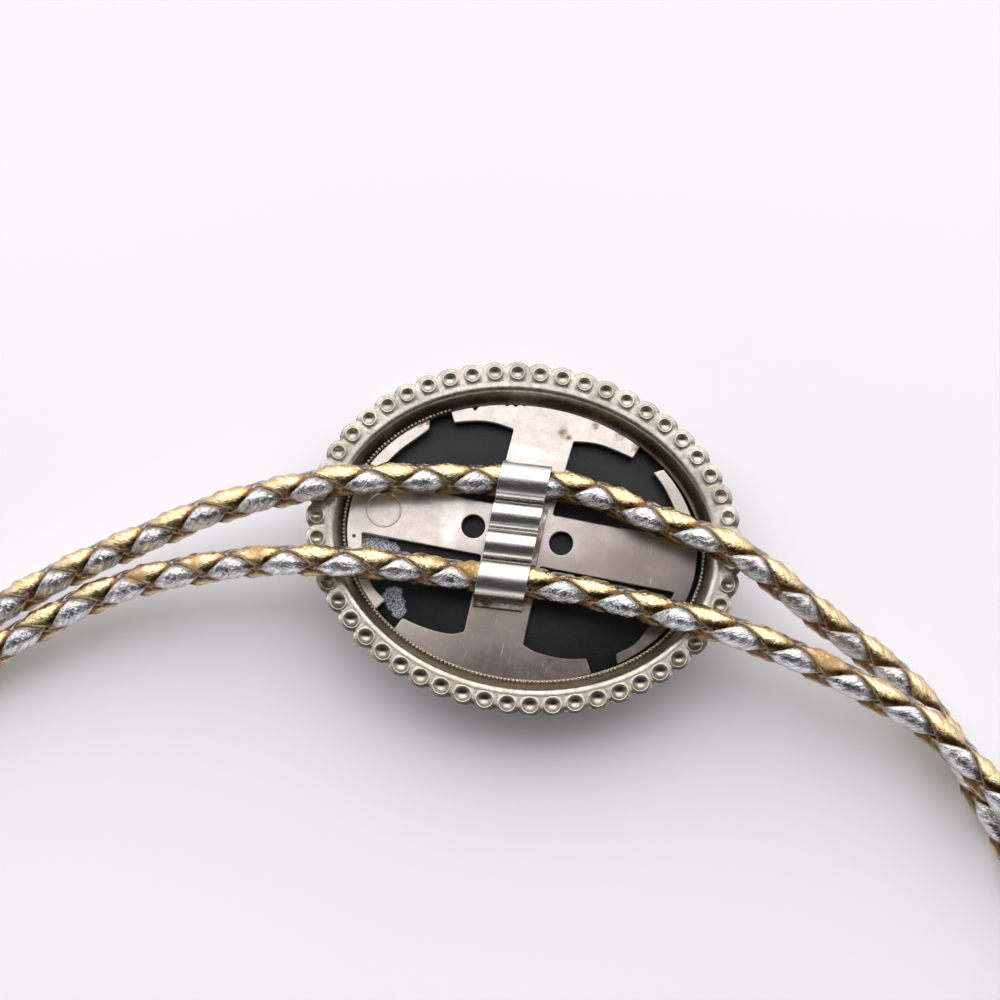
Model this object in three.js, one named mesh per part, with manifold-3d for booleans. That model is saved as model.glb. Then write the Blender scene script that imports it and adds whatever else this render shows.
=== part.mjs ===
// A bolo tie lying face down: an oval slide with a black cabochon, a pierced back plate and a
// corrugated clip that holds two strands of round cord. Millimetres, +Z up, X along the slide's
// long axis. The origin is the middle of the small flat on top of the stone, which rests on the
// surface, so the slide's back looks up.
import * as THREE from 'three';
import { mergeVertices } from 'three/addons/utils/BufferGeometryUtils.js';
import Module from 'manifold-3d';

const wasm = await Module();
wasm.setup();

// The oval through the bead centres, and the beads on it.
const BEAD_OVAL_LENGTH = 50.4;
const BEAD_OVAL_WIDTH = 40.4;
const BEAD_COUNT = 52;
const BEAD_LIP_RADIUS = 1.36;
const BOWL_RADIUS = 1.04;
const BOWL_DEPTH = 1.15;
const BEAD_WALL = 0.65;
const BEAD_LIP_SINK = 0.12;
const BEAD_SKIRT = 0.15;
const BEAD_SIDES = 10;

// The bead's domed front and its bowl's floor, as shares of their radius and of the bowl's depth.
const BEAD_FRONT = [
  { radius: 0.5, rise: 0.14 },
  { radius: 0.92, rise: 0.65 },
];
const BOWL_FLOOR = { radius: 0.68, rise: 0.12 };

// How far the cutter for a bowl stands out of the sheet's back.
const CUT_MARGIN = 0.2;

// The frame's stamped sheet, measured sideways from the bead centres and down from its back.
const FLANGE_THICKNESS = 0.7;
const FLANGE_OUTER_MARGIN = 0.85;
const FLANGE_INNER_MARGIN = 1.25;
const RECESS_WALL_RUN = 1.7;
const RECESS_DEPTH = 2.0;
const OVAL_SIDES = 72;

// The recess wall's ridge and foot, as shares of its run and of its depth.
const RIDGE = { run: 0.27, drop: 0.12 };
const WALL_FOOT_SHARE = 0.08;

// The collar round the stone, seen from the front, and the lip that holds the stone's edge.
const COLLAR_WALL = 0.85;
const COLLAR_DRAFT = 0.15;
const COLLAR_FILLET = { run: 0.7, drop: 0.45 };
const COLLAR_STEP = 0.3;
const SEAT_PLAY = 0.1;
const LIP_OVERLAP = 1.35;
const LIP_THICKNESS = 0.6;
const LIP_ROOT_SHARE = 1.6;
const LIP_DRAFT = 0.1;

// The stone. The dome's rings are shares of the way from its middle to its rim.
const STONE_HEIGHT = 6.0;
const STONE_DOME_HEIGHT = 4.8;
const STONE_FLAT_SHARE = 0.16;
const DOME_ROUNDNESS = 0.62;
const DOME_RINGS = [0.4, 0.62, 0.8, 0.92, 0.98, 1];
const STONE_CHAMFER_HEIGHT = 0.2;
const STONE_CHAMFER_SHARE = 0.985;
const STONE_SIDES = 40;

// The back plate: a cross whose four arms end in arc heads along the oval.
const PLATE_THICKNESS = 0.9;
const PLATE_END_PLAY = 1.15;
const PLATE_SIDE_PLAY = 0.45;
const PLATE_SHIFT_X = -0.5;
const HEAD_WIDTH_AT_ENDS = 1.6;
const HEAD_WIDTH_AT_SIDES = 3.2;
const WINDOW_SQUARENESS = 2.35;
const WINDOW_SIDES = 56;
const CROSS_FROM_CLIP = 0.5;
const LONG_BAR_WIDTH = 6.6;
const SHORT_BAR_WIDTH = 7.3;
const LONG_BAR_TURN = -1.4;
const SHORT_BAR_TURN = -4.0;
const HEAD_GAP = 3.5;
const HEAD_GAP_LENGTH = 10;
const HEAD_GAP_REACH = 0.8;
const HEAD_GAP_ANGLE = 43.9;
const HEAD_GAP_TURN = -2.3;
const PLATE_HOLE_RADIUS = 1.35;
const PLATE_HOLE_SPACING = 10.9;
const HOLE_SIDES = 24;

// The cord and its clip.
const CORD_DIAMETER = 3.8;
const CORD_SIDES = 8;
const CORD_CLEARANCE = 0.25;
const CLIP_SHEET = 0.35;
const CLIP_LENGTH = 6.0;
const CLIP_CENTRE = [-1.4, 0.65];
const CLIP_ROLL_SPACING = 12.3;
const CLIP_SKEW = 0.056;
const CLIP_LEAN = 0.04;
const CLIP_BASE_THICKNESS = 0.5;
const CLIP_BASE_MARGIN = 0.55;
const CLIP_FOOT = 0.7;
const MIDDLE_ROLL_DROP = 0.5;

// Where the clip's rolls run into each other, in degrees above their middles, and their facets.
const OUTER_ROLL_SEAM = 12;
const MIDDLE_ROLL_SEAM = 15;
const ROLL_STEPS = 12;
const CHANNEL_SIDES = 8;

// The tips on the free ends.
const TIP_LENGTH = 36;
const TIP_COLLAR_RADIUS = 2.9;
const TIP_COLLAR_LENGTH = 1.4;
const TIP_COLLAR_STEP = 0.3;
const TIP_SHANK_LENGTH = 2;
const TIP_END_RADIUS = 1.5;
const TIP_NOSE = { length: 1.4, capLength: 0.3, capShare: 0.6 };
const TIP_SOCKET_DEPTH = 3.5;
const TIP_SIDES = 12;

// The clearance between pieces that rest on or sit in each other.
const FIT_GAP = 0.3;

// The cord's routes, as points on its centre line. The neck loop runs from the clip's far roll
// over the frame, under its own second strand, round the neck and back to the clip's near roll.
const NECK_ROUTE = [
  [-1.25, 6.93, 9.35], [1.8, 7.05, 9.35], [5, 7.1, 9.35], [9, 6.65, 9.5], [13, 5.5, 10.1],
  [17.5, 4.3, 10.9], [22, 3.4, 11.6], [26, 2.2, 11.6], [30, 0.4, 10.9], [35, -2.2, 9.1],
  [41, -5.1, 6.7], [47, -8, 4.8], [52, -11.4, 3.5], [56.5, -16.2, 2.6], [60.5, -21.2, 2.2],
  [65, -27, 2], [71, -37, 2], [80, -62, 2], [90, -115, 2], [109, -169, 2], [145, -210, 2],
  [190, -222, 2], [232, -203, 2], [258, -160, 2], [255, -117, 2], [222, -78, 2],
  [172, -56, 2], [131, -46, 2.1], [98, -38.3, 2.7], [82, -33, 4], [70, -27, 5.7],
  [61.5, -20.7, 6.8], [52.5, -14.4, 7.8], [44.5, -11.4, 8.9], [36.6, -9.2, 10.2],
  [29, -7.6, 11.3], [22.9, -6.7, 11.6], [16, -6, 10.6], [9.5, -5.4, 9.6], [4, -5.2, 9.35],
  [1.4, -5.25, 9.35], [-1.25, -5.4, 9.35],
];
const TAIL_ROUTES = [
  [
    [-1.55, 6.91, 9.35], [-4.8, 6.55, 9.35], [-8.5, 6, 9.5], [-13, 5.2, 10.1], [-18, 4.1, 10.8],
    [-23, 2.9, 11.6], [-27.1, 1.4, 11.5], [-33.1, -0.8, 10.4], [-39, -3.6, 9.3], [-44.6, -7, 8.2],
    [-50.4, -10.5, 7.1], [-56.2, -14.4, 6], [-61.7, -18.6, 4.8], [-67, -22.7, 3.7],
    [-73, -27.2, 3], [-78, -30.9, 2.9],
  ],
  [
    [-1.55, -5.42, 9.35], [-4.8, -5.65, 9.35], [-9, -5.8, 9.5], [-14.1, -6, 10.3], [-21, -6.8, 11.5],
    [-25.8, -7.4, 11.6], [-31.7, -8.5, 10.7], [-38, -10.3, 9.6], [-44.2, -12.5, 8.4],
    [-50.8, -15.9, 7], [-56.4, -20, 5.9], [-60.8, -23.4, 4.9], [-66, -28.3, 3.6],
    [-70.5, -33.6, 3], [-74, -38.4, 2.9],
  ],
];
const NECK_STEPS = 62;
const TAIL_STEPS = 9;

// Heights above the surface, from the stone's flat up.
const plateBottom = STONE_HEIGHT + FIT_GAP;
const plateTop = plateBottom + PLATE_THICKNESS;
const flangeBack = plateTop + RECESS_DEPTH;
const flangeFront = flangeBack - FLANGE_THICKNESS;

// Ovals, each given as the distance of its edge from the oval through the bead centres.
const cavityOffset = -(FLANGE_INNER_MARGIN + RECESS_WALL_RUN);
const stoneOffset = cavityOffset - FIT_GAP;
const beadOval = ovalAt(0);
const cavityOval = ovalAt(cavityOffset);
const stoneOval = ovalAt(stoneOffset);
const plateOval = {
  halfX: cavityOval.halfX - PLATE_END_PLAY,
  halfY: cavityOval.halfY - PLATE_SIDE_PLAY,
};
const crossCentre = [CLIP_CENTRE[0] + CROSS_FROM_CLIP, CLIP_CENTRE[1]];

const nickel = { color: 0xb8b0a6, roughness: 0.32, metalness: 1 };
const finishes = {
  bezel_frame: nickel,
  back_plate: { color: 0xc9c2b8, roughness: 0.36, metalness: 1 },
  cord_clip: { color: 0xb4aca4, roughness: 0.3, metalness: 1 },
  cabochon: { color: 0x0c0c0e, roughness: 0.45, metalness: 0 },
  cord: { color: 0xc9a452, roughness: 0.38, metalness: 0.7 },
  tip: { color: 0xc4c0ba, roughness: 0.28, metalness: 1 },
};

function ovalAt(offset) {
  return { halfX: BEAD_OVAL_LENGTH / 2 + offset, halfY: BEAD_OVAL_WIDTH / 2 + offset };
}

function radians(degrees) {
  return (degrees * Math.PI) / 180;
}

// A point on an oval. A squareness above 2 fills out the corners.
function ovalPoint(oval, angle, squareness = 2) {
  const power = 2 / squareness;
  const c = Math.cos(angle);
  const s = Math.sin(angle);
  return new THREE.Vector2(
    Math.sign(c) * oval.halfX * Math.abs(c) ** power,
    Math.sign(s) * oval.halfY * Math.abs(s) ** power,
  );
}

function ovalShape(oval, sides, squareness = 2) {
  const points = [];
  for (let i = 0; i < sides; i++) {
    points.push(ovalPoint(oval, ((i + 0.5) / sides) * 2 * Math.PI, squareness));
  }
  return new THREE.Shape(points);
}

// The triangles of a geometry as a closed solid whose faces point out.
function solidOf(geometry) {
  const bare = geometry.clone();
  bare.deleteAttribute('normal');
  bare.deleteAttribute('uv');
  const merged = mergeVertices(bare, 1e-4);
  const vertices = merged.attributes.position.array;
  const triangles = [];
  let volume = 0;
  const [a, b, c] = [new THREE.Vector3(), new THREE.Vector3(), new THREE.Vector3()];
  for (let i = 0; i < merged.index.count; i += 3) {
    const corners = [0, 1, 2].map((k) => merged.index.getX(i + k));
    if (new Set(corners).size < 3) continue;
    a.fromArray(vertices, corners[0] * 3);
    b.fromArray(vertices, corners[1] * 3);
    c.fromArray(vertices, corners[2] * 3);
    volume += a.dot(b.cross(c)) / 6;
    triangles.push(corners);
  }
  const outward = volume < 0 ? triangles.map(([p, q, r]) => [p, r, q]) : triangles;
  const mesh = new wasm.Mesh({
    numProp: 3,
    vertProperties: new Float32Array(vertices),
    triVerts: new Uint32Array(outward.flat()),
  });
  return new wasm.Manifold(mesh);
}

function geometryOf(solid) {
  const mesh = solid.getMesh();
  const geometry = new THREE.BufferGeometry();
  geometry.setAttribute('position', new THREE.BufferAttribute(new Float32Array(mesh.vertProperties), 3));
  geometry.setIndex(new THREE.BufferAttribute(new Uint32Array(mesh.triVerts), 1));
  geometry.computeVertexNormals();
  return geometry;
}

function namedMesh(name, geometry, finish) {
  const mesh = new THREE.Mesh(geometry, new THREE.MeshStandardMaterial(finish));
  mesh.name = name;
  return mesh;
}

// A turned solid standing on its axis, from a profile of [radius, height].
function turned(profile, sides) {
  const points = profile.map(([radius, height]) => new THREE.Vector2(radius, height));
  return new THREE.LatheGeometry(points, sides).rotateX(Math.PI / 2);
}

// A ring that follows the bead oval: section points are [sideways offset, height].
function ovalRing(section) {
  const wheel = 100;
  const geometry = turned(section.map(([offset, height]) => [wheel + offset, height]), OVAL_SIDES);
  const position = geometry.attributes.position;
  for (let i = 0; i < position.count; i++) {
    const x = position.getX(i);
    const y = position.getY(i);
    const point = ovalPoint(ovalAt(Math.hypot(x, y) - wheel), Math.atan2(y, x));
    position.setXY(i, point.x, point.y);
  }
  return geometry;
}

// Points at even distances round an oval.
function evenlyRound(oval, count) {
  const curve = new THREE.EllipseCurve(0, 0, oval.halfX, oval.halfY, 0, 2 * Math.PI);
  curve.arcLengthDivisions = 1000;
  return Array.from({ length: count }, (_, i) => curve.getPointAt((i + 0.5) / count));
}

// Height of the domed face above the surface, at a share of the way from the middle to the rim.
function domeHeight(share) {
  return STONE_DOME_HEIGHT * (1 - (1 - share * share) ** DOME_ROUNDNESS);
}

function bezelFrame() {
  const lipOffset = cavityOffset - LIP_OVERLAP;
  const lipShare = ovalAt(lipOffset).halfY / stoneOval.halfY;
  const lipInner = domeHeight(lipShare) - FIT_GAP;
  const seat = STONE_DOME_HEIGHT - FIT_GAP - SEAT_PLAY;
  const collar = cavityOffset + COLLAR_WALL;
  const section = [
    [FLANGE_OUTER_MARGIN, flangeBack],
    [-FLANGE_INNER_MARGIN, flangeBack],
    [-FLANGE_INNER_MARGIN - RIDGE.run * RECESS_WALL_RUN, flangeBack - RIDGE.drop * RECESS_DEPTH],
    [cavityOffset, plateTop + WALL_FOOT_SHARE * RECESS_DEPTH],
    [cavityOffset, seat],
    [lipOffset, lipInner],
    [lipOffset + LIP_DRAFT, lipInner - LIP_THICKNESS],
    [cavityOffset + LIP_DRAFT, seat - LIP_ROOT_SHARE * LIP_THICKNESS],
    [collar, seat + COLLAR_STEP],
    [collar + COLLAR_DRAFT, flangeFront - COLLAR_FILLET.drop],
    [collar + COLLAR_FILLET.run, flangeFront],
    [FLANGE_OUTER_MARGIN, flangeFront],
    [FLANGE_OUTER_MARGIN, flangeBack],
  ];
  let frame = solidOf(ovalRing(section));
  const lipTop = flangeBack - BEAD_LIP_SINK;
  const bowlFloor = flangeBack - BOWL_DEPTH;
  const bowlTop = flangeBack + CUT_MARGIN;
  const apex = bowlFloor - BEAD_WALL;
  const bead = solidOf(turned([
    [0, apex],
    ...BEAD_FRONT.map(({ radius, rise }) => [radius * BEAD_LIP_RADIUS, apex + rise * BOWL_DEPTH]),
    [BEAD_LIP_RADIUS, flangeFront + BEAD_SKIRT],
    [BEAD_LIP_RADIUS, lipTop],
    [0, lipTop],
  ], BEAD_SIDES));
  const bowl = solidOf(turned([
    [0, bowlFloor],
    [BOWL_FLOOR.radius * BOWL_RADIUS, bowlFloor + BOWL_FLOOR.rise * BOWL_DEPTH],
    [BOWL_RADIUS, bowlTop],
    [0, bowlTop],
  ], BEAD_SIDES));
  const places = evenlyRound(beadOval, BEAD_COUNT);
  for (const place of places) frame = frame.add(bead.translate([place.x, place.y, 0]));
  for (const place of places) frame = frame.subtract(bowl.translate([place.x, place.y, 0]));
  return geometryOf(frame);
}

function cabochon() {
  const lift = domeHeight(STONE_FLAT_SHARE);
  const rise = STONE_DOME_HEIGHT / (STONE_DOME_HEIGHT - lift);
  const dome = [STONE_FLAT_SHARE, ...DOME_RINGS].map((share) => [share, (domeHeight(share) - lift) * rise]);
  const profile = [
    [0, 0],
    ...dome,
    [1, STONE_HEIGHT - STONE_CHAMFER_HEIGHT],
    [STONE_CHAMFER_SHARE, STONE_HEIGHT],
    [0, STONE_HEIGHT],
  ];
  const geometry = turned(profile, STONE_SIDES);
  return geometryOf(solidOf(geometry.scale(stoneOval.halfX, stoneOval.halfY, 1)));
}

// A slab of a shape that passes through the plate with room above and below.
function cutter(shape) {
  const geometry = new THREE.ExtrudeGeometry(shape, { depth: 3 * PLATE_THICKNESS, bevelEnabled: false });
  return solidOf(geometry.translate(0, 0, plateBottom - PLATE_THICKNESS));
}

function bar(length, width, turn) {
  const geometry = new THREE.BoxGeometry(length, width, 5 * PLATE_THICKNESS);
  geometry.rotateZ(radians(turn));
  return solidOf(geometry.translate(...crossCentre, plateBottom));
}

function backPlate() {
  const outline = new THREE.ExtrudeGeometry(ovalShape(plateOval, OVAL_SIDES), {
    depth: PLATE_THICKNESS,
    bevelEnabled: false,
  });
  let plate = solidOf(outline.translate(PLATE_SHIFT_X, 0, plateBottom));
  const windowOval = {
    halfX: plateOval.halfX - HEAD_WIDTH_AT_ENDS,
    halfY: plateOval.halfY - HEAD_WIDTH_AT_SIDES,
  };
  const windows = cutter(ovalShape(windowOval, WINDOW_SIDES, WINDOW_SQUARENESS))
    .translate([PLATE_SHIFT_X, 0, 0])
    .subtract(bar(BEAD_OVAL_LENGTH, LONG_BAR_WIDTH, LONG_BAR_TURN))
    .subtract(bar(SHORT_BAR_WIDTH, BEAD_OVAL_WIDTH, SHORT_BAR_TURN));
  plate = plate.subtract(windows);
  const reach = Math.hypot(windowOval.halfX, windowOval.halfY) * HEAD_GAP_REACH;
  const plateMiddle = plateBottom + PLATE_THICKNESS / 2;
  const depth = 3 * PLATE_THICKNESS;
  for (const quarter of [HEAD_GAP_ANGLE, 180 - HEAD_GAP_ANGLE, 180 + HEAD_GAP_ANGLE, -HEAD_GAP_ANGLE]) {
    const gap = new THREE.BoxGeometry(HEAD_GAP_LENGTH, HEAD_GAP, depth);
    gap.translate(reach, 0, plateMiddle);
    gap.rotateZ(radians(quarter + HEAD_GAP_TURN));
    plate = plate.subtract(solidOf(gap.translate(PLATE_SHIFT_X, 0, 0)));
  }
  for (const side of [-1, 1]) {
    const hole = new THREE.CylinderGeometry(PLATE_HOLE_RADIUS, PLATE_HOLE_RADIUS, depth, HOLE_SIDES);
    hole.rotateX(Math.PI / 2);
    hole.translate((side * PLATE_HOLE_SPACING) / 2, 0, plateMiddle);
    hole.rotateZ(radians(LONG_BAR_TURN));
    plate = plate.subtract(solidOf(hole.translate(...crossCentre, 0)));
  }
  return geometryOf(plate);
}

// An arc's points from one angle to another, in degrees, ends included.
function arcPoints(centre, radius, from, to, steps) {
  return Array.from({ length: steps + 1 }, (_, i) => {
    const angle = radians(from + ((to - from) * i) / steps);
    return [centre[0] + radius * Math.cos(angle), centre[1] + radius * Math.sin(angle)];
  });
}

function middleRoll(place, radius, height) {
  return arcPoints([place, height], radius, 180 - MIDDLE_ROLL_SEAM, MIDDLE_ROLL_SEAM, 8);
}

// The clip's section across the cords: two outer rolls over the cords and two small ones
// between them, on a flat base.
function cordClip() {
  const base = plateTop + FIT_GAP;
  const cordHeight = base + CORD_DIAMETER / 2;
  const inner = CORD_DIAMETER / 2 + CORD_CLEARANCE;
  const outer = inner + CLIP_SHEET;
  const rollAt = CLIP_ROLL_SPACING / 2;
  const middleRadius = (rollAt - outer) / 2;
  const middleHeight = cordHeight + outer - MIDDLE_ROLL_DROP - middleRadius;
  const outline = [
    [-rollAt - outer - CLIP_FOOT, base],
    [-rollAt - outer - CLIP_FOOT, base + CLIP_SHEET],
    [-rollAt - outer, base + CLIP_SHEET],
    ...arcPoints([-rollAt, cordHeight], outer, 180, OUTER_ROLL_SEAM, ROLL_STEPS),
    ...middleRoll(-middleRadius, middleRadius, middleHeight),
    ...middleRoll(middleRadius, middleRadius, middleHeight),
    ...arcPoints([rollAt, cordHeight], outer, 180 - OUTER_ROLL_SEAM, 0, ROLL_STEPS),
    [rollAt + outer, base],
    [rollAt + inner, base],
    ...arcPoints([rollAt, cordHeight], inner, 0, 180, ROLL_STEPS),
    [rollAt - inner, base],
    [inner - rollAt, base],
    ...arcPoints([-rollAt, cordHeight], inner, 0, 180, ROLL_STEPS),
    [-rollAt - inner, base],
  ];
  const shape = new THREE.Shape(outline.map(([y, z]) => new THREE.Vector2(y, z)));
  const lastSide = 360 - 360 / CHANNEL_SIDES;
  for (const side of [-1, 1]) {
    const centre = [side * middleRadius, middleHeight];
    const channel = arcPoints(centre, middleRadius - CLIP_SHEET, 0, lastSide, CHANNEL_SIDES - 1);
    shape.holes.push(new THREE.Path(channel.map(([y, z]) => new THREE.Vector2(y, z))));
  }
  const rolls = new THREE.ExtrudeGeometry(shape, { depth: CLIP_LENGTH, bevelEnabled: false });
  rolls.translate(0, 0, -CLIP_LENGTH / 2);
  const footLength = CLIP_LENGTH / 2 + CLIP_BASE_MARGIN;
  const foot = new THREE.BoxGeometry(4 * middleRadius, CLIP_BASE_THICKNESS, footLength);
  foot.translate(0, base + CLIP_BASE_THICKNESS / 2, footLength / 2);
  const alongX = new THREE.Matrix4().set(
    CLIP_LEAN, 0, 1, CLIP_CENTRE[0],
    1, 0, CLIP_SKEW, CLIP_CENTRE[1],
    0, 1, 0, 0,
    0, 0, 0, 1,
  );
  const clip = solidOf(rolls.applyMatrix4(alongX)).add(solidOf(foot.applyMatrix4(alongX)));
  return geometryOf(clip);
}

function cord(route, steps) {
  const curve = new THREE.CatmullRomCurve3(route.map((p) => new THREE.Vector3(...p)), false, 'centripetal');
  curve.arcLengthDivisions = 2000;
  const section = new THREE.Shape(
    Array.from({ length: CORD_SIDES }, (_, i) => {
      const angle = ((i + 0.5) / CORD_SIDES) * 2 * Math.PI;
      return new THREE.Vector2(Math.cos(angle), Math.sin(angle)).multiplyScalar(CORD_DIAMETER / 2);
    }),
  );
  return new THREE.ExtrudeGeometry(section, { steps, bevelEnabled: false, extrudePath: curve });
}

// A tip stands on its open end here; cordTip lays it along the last stretch of a tail.
function cordTip(route) {
  const socket = CORD_DIAMETER / 2 + CORD_CLEARANCE;
  const shoulder = TIP_COLLAR_RADIUS - TIP_COLLAR_STEP;
  const profile = [
    [0, TIP_SOCKET_DEPTH],
    [socket, TIP_SOCKET_DEPTH],
    [socket, 0],
    [TIP_COLLAR_RADIUS, 0],
    [TIP_COLLAR_RADIUS, TIP_COLLAR_LENGTH],
    [shoulder, TIP_COLLAR_LENGTH + TIP_COLLAR_STEP],
    [shoulder, TIP_SOCKET_DEPTH + TIP_SHANK_LENGTH],
    [TIP_END_RADIUS, TIP_LENGTH - TIP_NOSE.length],
    [TIP_NOSE.capShare * TIP_END_RADIUS, TIP_LENGTH - TIP_NOSE.capLength],
    [0, TIP_LENGTH],
  ];
  const [before, last] = route.slice(-2).map((p) => new THREE.Vector3(...p));
  const heading = last.clone().sub(before).setZ(0).normalize();
  const mouth = last.clone().addScaledVector(heading, FIT_GAP - TIP_SOCKET_DEPTH).setZ(TIP_COLLAR_RADIUS);
  const geometry = turned(profile, TIP_SIDES);
  geometry.rotateY(Math.PI / 2);
  geometry.rotateZ(Math.atan2(heading.y, heading.x));
  return geometryOf(solidOf(geometry.translate(mouth.x, mouth.y, mouth.z)));
}

function boloTie() {
  const group = new THREE.Group();
  group.add(namedMesh('bezel_frame', bezelFrame(), finishes.bezel_frame));
  group.add(namedMesh('cabochon', cabochon(), finishes.cabochon));
  group.add(namedMesh('back_plate', backPlate(), finishes.back_plate));
  group.add(namedMesh('cord_clip', cordClip(), finishes.cord_clip));
  group.add(namedMesh('neck_cord', cord(NECK_ROUTE, NECK_STEPS), finishes.cord));
  TAIL_ROUTES.forEach((route, i) => {
    group.add(namedMesh(`tail_cord_${i + 1}`, cord(route, TAIL_STEPS), finishes.cord));
    group.add(namedMesh(`cord_tip_${i + 1}`, cordTip(route), finishes.tip));
  });
  return group;
}

export default boloTie();
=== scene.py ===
"""A bolo tie lying face down on a pale floor: an oval beaded slide with a black stone, a pierced
back plate and a corrugated clip, on a round cord braided of gold and silver leather laces.
Shapes are worked out in millimetres and stored in metres; the cords' routes are in metres."""
import math
import random

import bmesh
import bpy
import numpy as np
from mathutils import Matrix, Vector


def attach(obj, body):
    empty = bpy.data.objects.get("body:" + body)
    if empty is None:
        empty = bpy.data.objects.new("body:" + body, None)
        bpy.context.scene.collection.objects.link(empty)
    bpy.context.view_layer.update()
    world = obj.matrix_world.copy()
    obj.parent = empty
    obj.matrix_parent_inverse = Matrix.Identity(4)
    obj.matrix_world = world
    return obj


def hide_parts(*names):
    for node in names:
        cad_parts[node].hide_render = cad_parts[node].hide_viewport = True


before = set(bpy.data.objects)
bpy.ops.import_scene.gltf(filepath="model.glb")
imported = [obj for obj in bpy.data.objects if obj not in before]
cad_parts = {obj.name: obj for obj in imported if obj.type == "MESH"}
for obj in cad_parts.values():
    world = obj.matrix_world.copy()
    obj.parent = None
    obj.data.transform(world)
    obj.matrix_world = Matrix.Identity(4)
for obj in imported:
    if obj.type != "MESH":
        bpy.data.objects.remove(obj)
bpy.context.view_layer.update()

MM = 0.001
BODY = "root"

# The camera, as the photo was taken: tilted, turned about its own axis, at a portrait distance.
VIEW_TILT = math.radians(10.0)
VIEW_ROLL = math.radians(9.7)
CAMERA_PLACE = Vector((6.34, -54.12, 344.85))
FOCAL_LENGTH = 100.98
SENSOR_WIDTH = 36.0

# The slide, in millimetres, as the CAD solids have it.
BEAD_OVAL = (50.4 / 2, 40.4 / 2)
BEAD_COUNT = 52
FLANGE_BACK = 9.2
STONE_HALF = (21.95, 16.95)
STONE_HEIGHT = 6.0
DOME_HEIGHT = 4.8
DOME_ROUNDNESS = 0.62
STONE_FLAT_SHARE = 0.16
PLATE_TOP = 7.2
PLATE_THICKNESS = 0.9
CLIP_BASE = 7.5
CORD_DIAMETER = 4.0

# The cord's routes, in metres: the points that the CAD tubes follow.
NECK_ROUTE = [
    (-0.00125, 0.00693, 0.00935), (0.0018, 0.00705, 0.00935), (0.005, 0.0071, 0.00935),
    (0.009, 0.00665, 0.0095), (0.013, 0.0055, 0.0101), (0.0175, 0.0043, 0.0109),
    (0.022, 0.0034, 0.0116), (0.026, 0.0022, 0.0116), (0.03, 0.0004, 0.0109), (0.035, -0.0022, 0.0091),
    (0.041, -0.0051, 0.0067), (0.047, -0.008, 0.0048), (0.052, -0.0114, 0.0035),
    (0.0565, -0.0162, 0.0026), (0.0605, -0.0212, 0.0022), (0.065, -0.027, 0.002),
    (0.071, -0.037, 0.002), (0.08, -0.062, 0.002), (0.09, -0.115, 0.002), (0.109, -0.169, 0.002),
    (0.145, -0.21, 0.002), (0.19, -0.222, 0.002), (0.232, -0.203, 0.002), (0.258, -0.16, 0.002),
    (0.255, -0.117, 0.002), (0.222, -0.078, 0.002), (0.172, -0.056, 0.002), (0.131, -0.046, 0.0021),
    (0.098, -0.0383, 0.0027), (0.082, -0.033, 0.004), (0.07, -0.027, 0.0057), (0.0615, -0.0207, 0.0068),
    (0.0525, -0.0144, 0.0078), (0.0445, -0.0114, 0.0089), (0.0366, -0.0092, 0.0102),
    (0.029, -0.0076, 0.0113), (0.0229, -0.0067, 0.0116), (0.016, -0.006, 0.0106),
    (0.0095, -0.0054, 0.0096), (0.004, -0.0052, 0.00935), (0.0014, -0.00525, 0.00935),
    (-0.00125, -0.0054, 0.00935),
]
TAIL_1_ROUTE = [
    (-0.00155, 0.00691, 0.00935), (-0.0048, 0.00655, 0.00935), (-0.0085, 0.006, 0.0095),
    (-0.013, 0.0052, 0.0101), (-0.018, 0.0041, 0.0108), (-0.023, 0.0029, 0.0116),
    (-0.0271, 0.0014, 0.0115), (-0.0331, -0.0008, 0.0104), (-0.039, -0.0036, 0.0093),
    (-0.0446, -0.007, 0.0082), (-0.0504, -0.0105, 0.0071), (-0.0562, -0.0144, 0.006),
    (-0.0617, -0.0186, 0.0048), (-0.067, -0.0227, 0.0037), (-0.073, -0.0272, 0.003),
    (-0.078, -0.0309, 0.0029),
]
TAIL_2_ROUTE = [
    (-0.00155, -0.00542, 0.00935), (-0.0048, -0.00565, 0.00935), (-0.009, -0.0058, 0.0095),
    (-0.0141, -0.006, 0.0103), (-0.021, -0.0068, 0.0115), (-0.0258, -0.0074, 0.0116),
    (-0.0317, -0.0085, 0.0107), (-0.038, -0.0103, 0.0096), (-0.0442, -0.0125, 0.0084),
    (-0.0508, -0.0159, 0.007), (-0.0564, -0.02, 0.0059), (-0.0608, -0.0234, 0.0049),
    (-0.066, -0.0283, 0.0036), (-0.0705, -0.0336, 0.003), (-0.074, -0.0384, 0.0029),
]

# The braid, in millimetres: two gold laces wind one way and two silver ones the other.
TURN_LENGTH = 13.4
LACE_WIDTH = 4.3
LACE_THICKNESS = 0.95
# How far a lace's middle lies from the cord's, and how much further out or in where laces cross.
LACE_RADIUS = 1.2
LACE_WAVE = 0.44
CORE_RADIUS = 1.0
BRAID_RADIUS = CORD_DIAMETER / 2
LACE_SLOPE = math.atan(2 * math.pi / TURN_LENGTH * BRAID_RADIUS)
# A lace's length over the cord's, for its grain.
LACE_STRETCH = 1.36
# How far the gold facets' middles lie from the cord's top, and how much larger gold is than silver.
GOLD_LINE = math.radians(46)
GOLD_SHARE = 0.05


def add_object(name, data):
    made = bpy.data.objects.new(name, data)
    bpy.context.scene.collection.objects.link(made)
    return made


def photo_axes():
    """The photo's right and up directions on the floor."""
    right = Vector((math.cos(VIEW_ROLL), math.sin(VIEW_ROLL), 0))
    up = Vector((-math.sin(VIEW_ROLL), math.cos(VIEW_ROLL), 0))
    return right, up


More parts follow.
